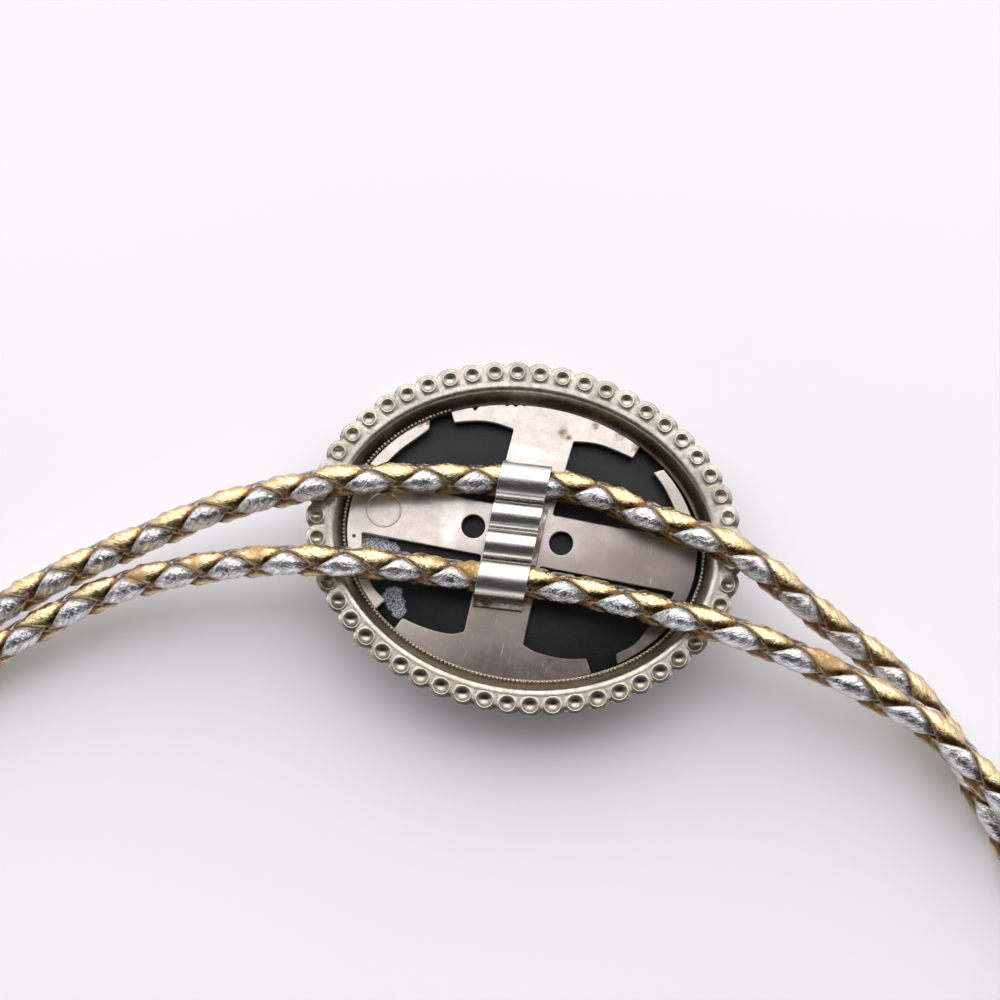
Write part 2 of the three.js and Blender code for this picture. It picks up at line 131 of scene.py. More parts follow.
def make_camera():
    right, up = photo_axes()
    forward = Vector((0, 0, -math.cos(VIEW_TILT))) + up * math.sin(VIEW_TILT)
    top = up * math.cos(VIEW_TILT) + Vector((0, 0, math.sin(VIEW_TILT)))
    data = bpy.data.cameras.new("camera")
    data.sensor_width = SENSOR_WIDTH
    data.lens = FOCAL_LENGTH
    data.clip_start = 0.01
    camera = add_object("camera", data)
    turn = Matrix((right, top, -forward)).transposed().to_4x4()
    camera.matrix_world = Matrix.Translation(CAMERA_PLACE * MM) @ turn
    bpy.context.scene.camera = camera


# Node helpers for the materials.
def node(tree, kind, settings=None, **inputs):
    """A new node. An input goes by its name, or by its number after a low line."""
    made = tree.nodes.new(kind)
    for key, value in (settings or {}).items():
        setattr(made, key, value)
    for key, value in inputs.items():
        socket = made.inputs[int(key[1:])] if key[0] == "_" else made.inputs[key]
        if isinstance(value, bpy.types.NodeSocket):
            tree.links.new(value, socket)
        else:
            socket.default_value = value
    return made


def math_node(tree, operation, a, b=0.0, clamp=False):
    settings = {"operation": operation, "use_clamp": clamp}
    return node(tree, "ShaderNodeMath", settings, _0=a, _1=b).outputs[0]


def added(tree, a, b):
    return math_node(tree, "ADD", a, b)


def times(tree, a, b, clamp=False):
    return math_node(tree, "MULTIPLY", a, b, clamp)


def mapped(tree, value, low, high, to_low=0.0, to_high=1.0):
    kind = "ShaderNodeMapRange"
    return node(tree, kind, {}, _0=value, _1=low, _2=high, _3=to_low, _4=to_high).outputs[0]


def mixed(tree, factor, a, b):
    """A colour between two others, each an RGB triple or another node's colour."""
    a, b = ((*color, 1) if isinstance(color, tuple) else color for color in (a, b))
    return node(tree, "ShaderNodeMix", {"data_type": "RGBA"}, _0=factor, _6=a, _7=b).outputs[2]


def attribute(tree, name):
    return node(tree, "ShaderNodeAttribute", {"attribute_name": name}).outputs["Fac"]


def axis_value(tree, vector, axis):
    return node(tree, "ShaderNodeSeparateXYZ", {}, _0=vector).outputs[axis]


def stretched(tree, vector, scale, turn=0.0):
    made = node(tree, "ShaderNodeMapping", {}, Vector=vector)
    made.inputs["Scale"].default_value = scale
    made.inputs["Rotation"].default_value = (0, 0, turn)
    return made.outputs[0]


def noise(tree, vector, scale, detail=3.0, roughness=0.55, distortion=0.0):
    kind = "ShaderNodeTexNoise"
    made = node(tree, kind, {}, Vector=vector, Scale=scale, Detail=detail, Roughness=roughness)
    made.inputs["Distortion"].default_value = distortion
    return made.outputs["Fac"]


def bump(tree, height, strength, distance, normal=None):
    made = node(tree, "ShaderNodeBump", {}, Height=height, Strength=strength, Distance=distance)
    if normal is not None:
        tree.links.new(normal, made.inputs["Normal"])
    return made.outputs[0]


def new_material(name, metallic, roughness, **values):
    """A material, its node tree and the place on the object, for the finishes to build on."""
    material = bpy.data.materials.new(name)
    material.use_nodes = True
    inputs = shader_inputs(material)
    inputs["Metallic"].default_value = metallic
    inputs["Roughness"].default_value = roughness
    for key, value in values.items():
        inputs[key.replace("_", " ")].default_value = value
    tree = material.node_tree
    return material, tree, node(tree, "ShaderNodeTexCoord").outputs["Object"]


def shader_inputs(material):
    return next(n for n in material.node_tree.nodes if n.type == "BSDF_PRINCIPLED").inputs


def finished(material, color, roughness=None, normal=None, metallic=None):
    """Links what a finish has made to the material's shader."""
    made = {"Base Color": color, "Roughness": roughness, "Normal": normal, "Metallic": metallic}
    for key, value in made.items():
        if value is not None:
            material.node_tree.links.new(value, shader_inputs(material)[key])
    return material


def near_spots(tree, place, spots):
    """How near a point is to any of some round spots, each (x, y, radius) in millimetres."""
    kind = "ShaderNodeVectorMath"
    flat = node(tree, kind, {"operation": "MULTIPLY"}, _0=place, _1=(1, 1, 0)).outputs[0]
    nearest = None
    for x, y, radius in spots:
        away = node(tree, kind, {"operation": "DISTANCE"}, _0=flat, _1=(x * MM, y * MM, 0))
        near = mapped(tree, away.outputs["Value"], radius * MM, 0.0)
        nearest = near if nearest is None else math_node(tree, "MAXIMUM", nearest, near)
    return nearest


# Finishes
def nickel_frame():
    """Stamped nickel silver, warm and slightly grainy, tarnished where the grime attribute says and
    nearly black with painted shade where the black one does. Painted shade also darkens the tarnish
    towards the oval's upper side."""
    material, tree, place = new_material("nickel_frame", 1.0, 0.3)
    grain = noise(tree, place, 2600, 4)
    clouds = noise(tree, place, 260, 3)
    dirt = added(tree, attribute(tree, "grime"), mapped(tree, clouds, 0.35, 0.7, -0.12, 0.24))
    dirt = mapped(tree, dirt, 0.0, 1.0)
    # Painted shade: the tarnish colour runs near black towards the oval's upper side.
    upper = mapped(tree, axis_value(tree, place, "Y"), -0.014, 0.004)
    stain_and_shade = mixed(tree, upper, (0.34, 0.27, 0.185), (0.075, 0.055, 0.035))
    mottle = mapped(tree, noise(tree, place, 1100, 4, 0.7), 0.35, 0.62)
    color = mixed(tree, mottle, (0.4, 0.36, 0.3), (0.6, 0.56, 0.49))
    color = mixed(tree, dirt, color, stain_and_shade)
    # Painted shade: near black on the bowls' walls where the black attribute says.
    color = mixed(tree, attribute(tree, "black"), color, (0.07, 0.06, 0.055))
    rough = added(tree, mapped(tree, grain, 0.3, 0.7, 0.24, 0.38), mapped(tree, dirt, 0, 1, 0, 0.2))
    return finished(material, color, rough, bump(tree, grain, 0.25, 0.00004))


# Stains and dark pits on the plate: x, y and radius in millimetres.
RUST_SPOTS = [
    (-14.5, 12.9, 1.5), (-14.0, 12.2, 0.9), (12.2, 13.6, 1.4), (14.4, 11.7, 1.2), (13.6, 12.6, 0.8),
    (2.5, 14.2, 0.9), (3.3, 13.6, 0.6), (9.4, 14.9, 0.8), (6.3, 15.6, 0.6), (-8.7, 15.9, 0.7),
]
DARK_SPOTS = [
    (-20.5, -2.8, 0.35), (-4.8, 16.9, 0.5), (-3.8, 16.9, 0.4), (-2.7, 17.0, 0.45), (-8.7, 15.7, 0.5),
]


def nickel_plate():
    """Satin sheet with painted shading, bright at the upper left and a dark greyish brown at the lower
    right, with fine grain, short scratches, small rust stains and two soft bands of painted highlight."""
    material, tree, place = new_material("nickel_plate", 1.0, 0.34)
    grain = noise(tree, place, 3200, 4)
    broad = noise(tree, place, 90, 2)
    nicks = noise(tree, stretched(tree, place, (2600, 300, 500), 0.06), 1.0, 2)
    nick = mapped(tree, nicks, 0.66, 0.76)
    mottle = noise(tree, place, 700, 5, 0.75)
    specks = mapped(tree, noise(tree, place, 900, 2), 0.7, 0.78)
    # Painted highlight: two soft bright bands, a level one across the upper arm and an upright one left of
    # the clip.
    level = near_spots(tree, stretched(tree, place, (1, 5, 0)), [(-1.5, 54.5, 7.0)])
    upright = near_spots(tree, stretched(tree, place, (4, 1, 0)), [(-36.0, 1.5, 7.0)])
    painted_sheen = mapped(tree, math_node(tree, "MAXIMUM", level, upright), 0.1, 0.6, 0.0, 0.6)
    # Painted shading: bright at the upper left, running to a dark greyish brown at the lower right.
    light_slant = added(tree, axis_value(tree, place, "Y"), times(tree, axis_value(tree, place, "X"), -0.55))
    light_slant = added(tree, light_slant, mapped(tree, broad, 0.3, 0.7, -0.003, 0.003))
    shaded_end = mixed(tree, mapped(tree, light_slant, -0.016, -0.007), (0.125, 0.1, 0.09), (0.3, 0.26, 0.23))
    color = mixed(tree, mapped(tree, light_slant, -0.007, 0.003), shaded_end, (0.72, 0.655, 0.6))
    color = mixed(tree, painted_sheen, color, (0.96, 0.92, 0.86))
    color = mixed(tree, mapped(tree, mottle, 0.6, 0.34, 0.0, 0.32), color, (0.3, 0.255, 0.22))
    color = mixed(tree, times(tree, nick, 0.22), color, (0.9, 0.88, 0.84))
    color = mixed(tree, times(tree, specks, 0.45), color, (0.3, 0.26, 0.22))
    blotch = mapped(tree, noise(tree, place, 1500, 3), 0.42, 0.56)
    rust = times(tree, near_spots(tree, place, RUST_SPOTS), blotch, clamp=True)
    dark = mapped(tree, near_spots(tree, place, DARK_SPOTS), 0.15, 0.5)
    color = mixed(tree, rust, color, (0.3, 0.11, 0.05))
    color = mixed(tree, dark, color, (0.07, 0.05, 0.035))
    rough = added(tree, mapped(tree, grain, 0.3, 0.7, 0.28, 0.4), times(tree, rust, 0.35))
    normal = bump(tree, broad, 0.35, 0.0006)
    normal = bump(tree, grain, 0.25, 0.00003, normal)
    normal = bump(tree, nick, 0.2, 0.00003, normal)
    return finished(material, color, rough, normal)


def clip_steel():
    """Bright rolled sheet, brushed round the rolls, brown in the valleys."""
    material, tree, place = new_material("clip_steel", 1.0, 0.25)
    brushed = noise(tree, stretched(tree, place, (500, 3400, 3400)), 1.0, 3)
    streaks = noise(tree, stretched(tree, place, (110, 1500, 1500)), 1.0, 3)
    low = mapped(tree, axis_value(tree, place, "Z"), 0.0098, 0.0078)
    dirt = times(tree, low, mapped(tree, noise(tree, place, 700, 3), 0.35, 0.6), clamp=True)
    color = mixed(tree, streaks, (0.6, 0.57, 0.54), (0.74, 0.71, 0.68))
    color = mixed(tree, dirt, color, (0.2, 0.12, 0.07))
    rough = added(tree, mapped(tree, brushed, 0.3, 0.7, 0.18, 0.32), times(tree, dirt, 0.3))
    fine = bump(tree, noise(tree, place, 4200, 3), 0.3, 0.00003)
    return finished(material, color, rough, bump(tree, brushed, 0.16, 0.00004, fine))


# Where painted glints of light lie on the stone's back: x, y and radius in millimetres.
GLINT_SPOTS = [
    (-18.6, -2.8, 2.1), (-17.2, -3.3, 1.9), (-15.9, -3.7, 1.6), (-14.6, -8.9, 1.6), (-14.2, -9.9, 1.6),
    (-13.5, -11.0, 1.3),
]


def black_stone():
    """A polished black dome whose flat back is matte and full of fine glitter, with painted glints of
    light in a few patches.
    """
    material, tree, place = new_material("black_stone", 0.0, 0.1, Specular_IOR_Level=0.3)
    height = axis_value(tree, place, "Z")
    back = mapped(tree, height, (STONE_HEIGHT - 0.35) * MM, (STONE_HEIGHT - 0.1) * MM)
    grit = noise(tree, place, 5200, 2, 0.7)
    clouds = noise(tree, place, 300, 3)
    matte = mixed(tree, clouds, (0.006, 0.006, 0.007), (0.011, 0.011, 0.012))
    matte = mixed(tree, mapped(tree, grit, 0.68, 0.76), matte, (0.08, 0.085, 0.1))
    ragged = added(tree, near_spots(tree, place, GLINT_SPOTS), mapped(tree, clouds, 0.3, 0.7, -0.3, 0.3))
    # Painted reflection: near-white grains in the glint patches.
    painted_glint = mixed(tree, mapped(tree, grit, 0.4, 0.6), (0.05, 0.055, 0.075), (0.9, 0.92, 1.0))
    matte = mixed(tree, mapped(tree, ragged, 0.31, 0.5), matte, painted_glint)
    color = mixed(tree, back, (0.006, 0.006, 0.007), matte)
    rough = mapped(tree, back, 0, 1, 0.08, 0.4)
    return finished(material, color, rough, bump(tree, times(tree, grit, back), 0.6, 0.0001))


def foil_lace(name, bright, deep, edge, dip_dirt_and_shade, grain_scale, crumple):
    """Foil leather lace: bright foil with fine crackle, worn to the leather at its edges and where
    the worn attribute says, dark with dirt and painted shade where it dips under the next lace, and
    dark with painted shade along the gold facets' lower edges."""
    material, tree, place = new_material(name, 1.0, 0.28)
    across = attribute(tree, "across")
    lane = node(
        tree, "ShaderNodeCombineXYZ", {},
        _0=attribute(tree, "along"), _1=across, _2=attribute(tree, "strand"),
    ).outputs[0]
    streaks = noise(tree, stretched(tree, lane, (0.55, 5.5, 3.0)), 1.0, 4, 0.6)
    grain = noise(tree, place, grain_scale, 4, 0.65)
    folds = noise(tree, place, 1150, 4, 0.65, 0.6)
    color = mixed(tree, mapped(tree, streaks, 0.3, 0.62), deep, bright)
    # Dark where the top attribute is low: dirt and painted shade where the lace dips under the next, and
    # painted shade along the gold facets' lower edges.
    top = added(tree, attribute(tree, "top"), mapped(tree, grain, 0.3, 0.7, -0.16, 0.16))
    color = mixed(tree, mapped(tree, top, 0.46, 0.02), color, dip_dirt_and_shade)
    rim = mapped(tree, math_node(tree, "ABSOLUTE", across), 0.84, 1.0)
    fray = times(tree, rim, mapped(tree, grain, 0.3, 0.55), clamp=True)
    worn = times(tree, attribute(tree, "worn"), mapped(tree, grain, 0.25, 0.5), clamp=True)
    color = mixed(tree, fray, color, edge)
    color = mixed(tree, worn, color, (0.48, 0.29, 0.1))
    matte = math_node(tree, "MAXIMUM", fray, worn)
    rough = added(tree, mapped(tree, grain, 0.3, 0.7, 0.13, 0.27), times(tree, matte, 0.4))
    metal = mapped(tree, matte, 0, 1, 1.0, 0.25)
    normal = bump(tree, folds, crumple, 0.00034)
    normal = bump(tree, streaks, 0.3, 0.00008, normal)
    normal = bump(tree, grain, 0.5, 0.00006, normal)
    return finished(material, color, rough, normal, metal)


def leather_core():
    material, tree, place = new_material("leather_core", 0.0, 0.8)
    color = mixed(tree, noise(tree, place, 1200, 3), (0.05, 0.025, 0.01), (0.16, 0.09, 0.035))
    return finished(material, color)


def tip_metal():
    material, tree, place = new_material("tip_metal", 1.0, 0.2)
    fine = noise(tree, place, 3000, 3)
    color = mixed(tree, noise(tree, place, 240, 3), (0.66, 0.64, 0.61), (0.78, 0.77, 0.75))
    rough = mapped(tree, fine, 0.3, 0.7, 0.14, 0.26)
    return finished(material, color, rough, bump(tree, fine, 0.15, 0.00002))


# Mesh helpers
def piece(name, vertices, faces, materials, attributes=None, face_materials=None, sharp=None):
    """An object from points in millimetres. attributes holds a float for each point."""
    mesh = bpy.data.meshes.new(name)
    mesh.from_pydata((np.asarray(vertices, float) * MM).tolist(), [], [tuple(f) for f in faces])
    for material in materials:
        mesh.materials.append(material)
    if face_materials is not None:
        mesh.polygons.foreach_set("material_index", np.asarray(face_materials, np.int32))
    for key, values in (attributes or {}).items():
        layer = mesh.attributes.new(key, "FLOAT", "POINT")
        layer.data.foreach_set("value", np.asarray(values, np.float32))
    mesh.update()
    mesh.shade_smooth()
    if sharp is not None:
        mesh.set_sharp_from_angle(angle=math.radians(sharp))
    return add_object(name, mesh)


def add_mesh(vertices, faces, more, more_faces):
    """Adds points, and the faces between them, to lists that may hold some already."""
    base = len(vertices)
    vertices.extend(more)
    faces.extend(tuple(base + i for i in face) for face in more_faces)


def place_piece(made, node_name):
    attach(made, BODY)
    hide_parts(node_name)
    return made


def welded(made, distance):
    """Joins points that lie together and turns all faces out."""
    build = bmesh.new()
    build.from_mesh(made.data)
    bmesh.ops.remove_doubles(build, verts=build.verts, dist=distance * MM)
    bmesh.ops.dissolve_degenerate(build, dist=distance * MM * 0.2, edges=build.edges)
    bmesh.ops.recalc_face_normals(build, faces=build.faces)
    build.to_mesh(made.data)
    build.free()
    return made


def slab(name, outlines, half_depth, rounding, material):
    """A flat outline in millimetres, holes included, thickened both ways with rounded rims."""
    curve = bpy.data.curves.new(name, "CURVE")
    curve.dimensions = "2D"
    curve.fill_mode = "BOTH"
    curve.extrude = (half_depth - rounding) * MM
    curve.bevel_depth = rounding * MM
    curve.bevel_resolution = 2
    curve.offset = -rounding * MM
    for outline in outlines:
        spline = curve.splines.new("POLY")
        spline.points.add(len(outline) - 1)
        for point, (x, y) in zip(spline.points, outline):
            point.co = (x * MM, y * MM, 0, 1)
        spline.use_cyclic_u = True
    holder = add_object(name + "_outline", curve)
    bpy.context.view_layer.update()
    mesh = bpy.data.meshes.new_from_object(holder.evaluated_get(bpy.context.evaluated_depsgraph_get()))
    bpy.data.objects.remove(holder)
    bpy.data.curves.remove(curve)
    mesh.name = name
    mesh.materials.clear()
    mesh.materials.append(material)
    made = add_object(name, mesh)
    welded(made, 0.002)
    mesh.shade_smooth()
    mesh.set_sharp_from_angle(angle=math.radians(12))
    return made


def joined(target, *others):
    """Adds the meshes of other objects, which share its materials, to the target's."""
    with bpy.context.temp_override(active_object=target, selected_editable_objects=[target, *others]):
        bpy.ops.object.join()
    return target


def turned(profile, sides, half=(1.0, 1.0)):
    """Points and faces of a profile of (radius, height) turned about Z, both ends on the axis."""
    vertices = [(0, 0, profile[0][1])]
    for radius, height in profile[1:-1]:
        for i in range(sides):
            angle = 2 * math.pi * i / sides
            vertices.append((radius * half[0] * math.cos(angle), radius * half[1] * math.sin(angle), height))
    vertices.append((0, 0, profile[-1][1]))
    last = len(vertices) - 1
    rings = len(profile) - 2
    faces = []
    for i in range(sides):
        j = (i + 1) % sides
        faces.append((0, 1 + j, 1 + i))
        for k in range(rings - 1):
            a = 1 + k * sides
            faces.append((a + i, a + j, a + sides + j, a + sides + i))
        a = 1 + (rings - 1) * sides
        faces.append((a + i, a + j, last))
    return vertices, faces


# The cord
def smooth_line(route, step):
    """Points about a step apart, in millimetres, on the centripetal curve through a route."""
    points = np.array(route, float) / MM
    points = np.vstack([2 * points[0] - points[1], points, 2 * points[-1] - points[-2]])
    fine = []
    for i in range(1, len(points) - 2):
        p0, p1, p2, p3 = points[i - 1 : i + 3]
        d0, d1, d2 = (math.sqrt(np.linalg.norm(b - a)) for a, b in ((p0, p1), (p1, p2), (p2, p3)))
        t1 = ((p1 - p0) / d0 - (p2 - p0) / (d0 + d1) + (p2 - p1) / d1) * d1
        t2 = ((p2 - p1) / d1 - (p3 - p1) / (d1 + d2) + (p3 - p2) / d2) * d1
        share = np.linspace(0, 1, 60, endpoint=False)[:, None]
        cubic = 2 * p1 - 2 * p2 + t1 + t2
        square = -3 * p1 + 3 * p2 - 2 * t1 - t2
        fine.append(p1 + t1 * share + square * share**2 + cubic * share**3)
    fine.append(points[-2][None])
    return resampled(np.vstack(fine), step)


def resampled(line, step):
    along = np.concatenate([[0], np.cumsum(np.linalg.norm(np.diff(line, axis=0), axis=1))])
    at = np.linspace(0, along[-1], max(2, round(along[-1] / step) + 1))
    return at, np.stack([np.interp(at, along, line[:, k]) for k in range(3)], axis=1)


class Path:
    """A cord's centre line with an upright frame at every distance along it."""

    def __init__(self, route):
        self.at, self.line = smooth_line(route, 0.25)
        self.length = self.at[-1]
        tangent = np.gradient(self.line, self.at, axis=0)
        tangent /= np.linalg.norm(tangent, axis=1)[:, None]
        left = np.cross([0, 0, 1], tangent)
        self.left = left / np.linalg.norm(left, axis=1)[:, None]
        self.up = np.cross(tangent, self.left)

    def value(self, rows, s):
        return np.stack([np.interp(s, self.at, rows[:, k]) for k in range(3)], axis=-1)

    def point(self, s, angle, radius):
        """The point at an angle from the top towards the left, at a radius from the centre line."""
        s = np.clip(s, 0, self.length)
        out = np.cos(angle)[..., None] * self.value(self.up, s)
        out = out + np.sin(angle)[..., None] * self.value(self.left, s)
        return self.value(self.line, s) + np.asarray(radius)[..., None] * out


def lace_section():
    """A flat lace's cross-section: how far across, from -1 to 1, and how high, from -1 to 1."""
    angles = np.radians([0, 12, 30, 55, 90, 125, 150, 168, 180, 205, 240, 270, 300, 335])
    power = 0.5
    across = np.sign(np.cos(angles)) * np.abs(np.cos(angles)) ** power
    high = np.sign(np.sin(angles)) * np.abs(np.sin(angles)) ** power
    return across, high


# The cross-section's points at the lace's two edges.
LACE_EDGES = (0, 8)


class Braid:
    """Four laces round a path, the first two gold. line(s) is the angle of the gold facets from the
    top, to the left, and phase(s) grows by pi for each facet. The last argument is how much painted
    shade darkens the gold facets' lower edges."""

    def __init__(self, path, line, phase, lower_shade):
        self.path = path
        self.line = line
        self.phase = phase
        self.lower_shade = lower_shade

    def height(self, s, angle):
        """Where gold lies over silver: 1 at the middle of a gold facet, -1 of a silver one."""
        return (np.cos(2 * self.phase(s)) + np.cos(2 * (angle - self.line(s)))) / 2 + GOLD_SHARE

    def lace(self, strand, stations):
        """One lace: its points by station, their places across it, how far it lies on top there,
        and the same less the painted shade on the gold facets' lower edges."""
        gold = strand < 2
        sense = -1 if gold else 1
        across, high = lace_section()
        offset = across * LACE_WIDTH / 2
        s = stations[:, None] - sense * offset[None] * math.sin(LACE_SLOPE)
        middle = self.line(stations) + sense * self.phase(stations) + (strand % 2) * math.pi
        angle = middle[:, None] + offset[None] * math.cos(LACE_SLOPE) / BRAID_RADIUS
        over = np.sin(np.clip(self.height(s, angle), -1, 1) * math.pi / 2) * (1 if gold else -1)
        radius = LACE_RADIUS + LACE_WAVE * over + high[None] * LACE_THICKNESS / 2
        line = self.line(s)
        # Painted shade: the gold facets' lower edges, towards the silver, count as lying less on top, so they
        # are coloured darker.
        below = np.sign(line) * np.sin(line - angle)
        unshaded = over - self.lower_shade * np.maximum(0, below) if gold else over
        return self.path.point(s, angle, radius), across, over, unshaded


def tube_faces(rows, width):
    faces = []
    for i in range(rows - 1):
        for j in range(width):
            k = (j + 1) % width
            faces.append((i * width + j, i * width + k, (i + 1) * width + k, (i + 1) * width + j))
    faces.append(tuple(reversed(range(width))))
    faces.append(tuple(range((rows - 1) * width, rows * width)))
    return faces


def stations_of(length, fine_until, fine_from, fine, coarse):
    """Distances along a cord, close together near its ends, where the camera sees it."""
    parts = [np.arange(0, fine_until, fine), np.arange(fine_until, fine_from, coarse)]
    parts.append(np.linspace(fine_from, length, max(2, int((length - fine_from) / fine))))
    return np.concatenate([p for p in parts if len(p)])


def fibres(braid, count, span, rng):
    """Short curved hairs that stand off the laces' edges, each a thin closed cone, and the material
    of each hair."""
    vertices, faces, slots = [], [], []
    while len(slots) < count:
        s = rng.uniform(*span)
        strand = rng.randrange(4)
        points, _, over, _ = braid.lace(strand, np.array([s, s + 0.3]))
        side = rng.choice(LACE_EDGES)
        if over[0, side] < 0.02:
            continue
        root = points[0, side]
        along = points[1, side] - root
        out = root - braid.path.value(braid.path.line, np.array(s))
        aim = along / np.linalg.norm(along) * rng.uniform(-0.9, 1.0)
        aim = aim + out / np.linalg.norm(out) * rng.uniform(0.1, 0.6)
        bend = np.array([rng.uniform(-0.25, 0.25) for _ in range(3)])
        length = rng.uniform(0.3, 1.0)
        base = len(vertices)
        for share, width in ((0, 0.035), (0.5, 0.025)):
            middle = root + aim * length * share + bend * length * share**2
            for k in range(3):
                turn = 2 * math.pi * k / 3
                side_step = np.array([math.cos(turn), math.sin(turn), 0.4 * math.sin(turn)])
                vertices.append(middle + width * side_step)
        vertices.append(root + aim * length + bend * length)
        faces.append((base, base + 2, base + 1))
        for k in range(3):
            j = (k + 1) % 3
            faces.append((base + k, base + j, base + 3 + j, base + 3 + k))
            faces.append((base + 3 + k, base + 3 + j, base + 6))
        slots.append(int(strand >= 2))
    return vertices, faces, slots


HAIR_FACES = 7
CORE_SIDES = 8


def braided_cord(name, braid, stations, materials, worn_spots, hair_spans, seed):
    """One braided cord as a mesh: four laces, the dark core between them and the edge fibres."""
    vertices, faces, slots = [], [], []
    marks = {"along": [], "across": [], "strand": [], "top": []}
    for strand in range(4):
        points, across, _, unshaded = braid.lace(strand, stations)
        made = tube_faces(len(stations), len(across))
        add_mesh(vertices, faces, points.reshape(-1, 3), made)
        slots.extend([int(strand >= 2)] * len(made))
        marks["along"].extend(np.repeat(stations * LACE_STRETCH, len(across)))
        marks["across"].extend(np.tile(across, len(stations)))
        marks["strand"].extend([strand * 7.3 + seed] * unshaded.size)
        marks["top"].extend(unshaded.reshape(-1))
    core = stations[::3]
    ring = np.linspace(0, 2 * math.pi, CORE_SIDES, endpoint=False)
    s, angle = np.meshgrid(core, ring, indexing="ij")
    points = braid.path.point(s, angle, np.full(s.shape, CORE_RADIUS))
    made = tube_faces(len(core), CORE_SIDES)
    add_mesh(vertices, faces, points.reshape(-1, 3), made)
    slots.extend([2] * len(made))
    rng = random.Random(seed)
    for count, span in hair_spans:
        hair, hair_faces, hair_slots = fibres(braid, count, span, rng)
        add_mesh(vertices, faces, hair, hair_faces)
        slots.extend(np.repeat(hair_slots, HAIR_FACES))
    spare = len(vertices) - len(marks["top"])
    for key, value in (("along", 0.0), ("across", 1.0), ("strand", 0.0), ("top", 1.0)):
        marks[key].extend([value] * spare)
    places = np.array(vertices)
    worn = np.zeros(len(places))
    for x, y, radius in worn_spots:
        away = np.hypot(places[:, 0] - x, places[:, 1] - y)
        worn = np.maximum(worn, np.clip((radius - away) / (0.35 * radius), 0, 1))
    return piece(name, places, faces, materials, marks | {"worn": worn}, slots)


def steady(value):
    return lambda s: np.full(np.shape(s), value, float)


def facets(places):
    """The braid's phase when the silver facets' middles lie at these distances along the cord."""
    first = 2 * places[0] - places[1]
    last = 2 * places[-1] - places[-2]
    marks = [2 * first - places[0], first, *places, last, 2 * last - places[-1]]
    return lambda s: np.interp(s, marks, (np.arange(len(marks)) + 0.5) * math.pi)


# Where the silver facets' middles lie: distances in millimetres from the clip.
FACETS_TAIL_1 = [5.7, 12.0, 18.9, 25.5, 32.0, 39.4, 46.4, 52.8, 59.5, 66.3, 73.0, 79.7, 86.4, 93.1]
FACETS_TAIL_2 = [6.4, 12.75, 19.7, 26.6, 33.3, 40.2, 46.7, 53.9, 61.3, 68.2, 75.1, 82.0, 88.9]
FACETS_NECK_START = [2.6, 9.2, 15.7, 22.9, 30.0, 37.3, 45.4, 52.6, 59.8, 67.0, 74.2, 81.4, 88.6]
FACETS_NECK_END = [6.8, 14.3, 21.1, 28.7, 36.0, 43.5, 51.6, 59.9, 67.7, 75.4, 83.0, 90.6]
HIDDEN_FACET = 7.1

# Where the gold foil is worn off: x, y and radius in millimetres.
WORN_TAIL_2 = [
    (-5.9, -4.6, 1.8), (-9.6, -4.4, 0.9), (-45.3, -12.6, 1.3), (-38.3, -9.8, 1.1), (-31.4, -7.5, 1.2),
]
WORN_NECK = [(38.2, -8.1, 2.4)]

# The neck cord's length that is finely modelled at each end, and how far fibres stay from the ends.
NECK_SEEN = 95.0
HAIR_CLEAR = 3.0


def make_tails(materials):
    tails = []
    tail_facts = (
        ("1", TAIL_1_ROUTE, FACETS_TAIL_1, []),
        ("2", TAIL_2_ROUTE, FACETS_TAIL_2, WORN_TAIL_2),
    )
    for number, route, places, worn in tail_facts:
        path = Path(route)
        braid = Braid(path, steady(-GOLD_LINE), facets(places), lower_shade=0.18)
        stations = stations_of(path.length, path.length - 1, path.length - 1, 0.4, 0.4)
        hairs = [(260, (HAIR_CLEAR, path.length - HAIR_CLEAR))]
        made = braided_cord("tail_braid_" + number, braid, stations, materials, worn, hairs, 11 + int(number))
        place_piece(made, "tail_cord_" + number)
        tails.append((made, path))
    return tails


def make_neck(materials):
    path = Path(NECK_ROUTE)
    whole = path.length
    far_end = whole - NECK_SEEN

    def line(s):
        """The gold lies on one side along the first seen stretch and on the other along the last."""
        share = np.clip((np.asarray(s, float) - NECK_SEEN) / (far_end - NECK_SEEN), 0, 1)
        return GOLD_LINE - 2 * GOLD_LINE * (share * share * (3 - 2 * share))

    between = whole - FACETS_NECK_END[-1] - FACETS_NECK_START[-1]
    gaps = round(between / HIDDEN_FACET)
    middle = [FACETS_NECK_START[-1] + between * k / gaps for k in range(1, gaps)]
    places = FACETS_NECK_START + middle + [whole - distance for distance in reversed(FACETS_NECK_END)]
    braid = Braid(path, line, facets(places), lower_shade=0.5)
    stations = stations_of(whole, NECK_SEEN, far_end, 0.42, 0.75)
    hairs = [(380, (HAIR_CLEAR, NECK_SEEN)), (300, (NECK_SEEN, far_end))]
    hairs.append((420, (far_end, whole - HAIR_CLEAR)))
    made = braided_cord("neck_braid", braid, stations, materials, WORN_NECK, hairs, 5)
    place_piece(made, "neck_cord")


# The slide
def oval_point(offset, angle):
    return (BEAD_OVAL[0] + offset) * math.cos(angle), (BEAD_OVAL[1] + offset) * math.sin(angle)


def bead_angles():
    """The oval's angle at each bead's middle and at each border between two beads."""
    angle = np.linspace(0, 2 * math.pi, 20001)
    x, y = BEAD_OVAL[0] * np.cos(angle), BEAD_OVAL[1] * np.sin(angle)
    along = np.concatenate([[0], np.cumsum(np.hypot(np.diff(x), np.diff(y)))])
    shares = np.arange(BEAD_COUNT) / BEAD_COUNT
    borders = np.interp(shares * along[-1], along, angle)
    middles = np.interp((shares + 0.5 / BEAD_COUNT) * along[-1], along, angle)
    return middles, np.append(borders, 2 * math.pi)


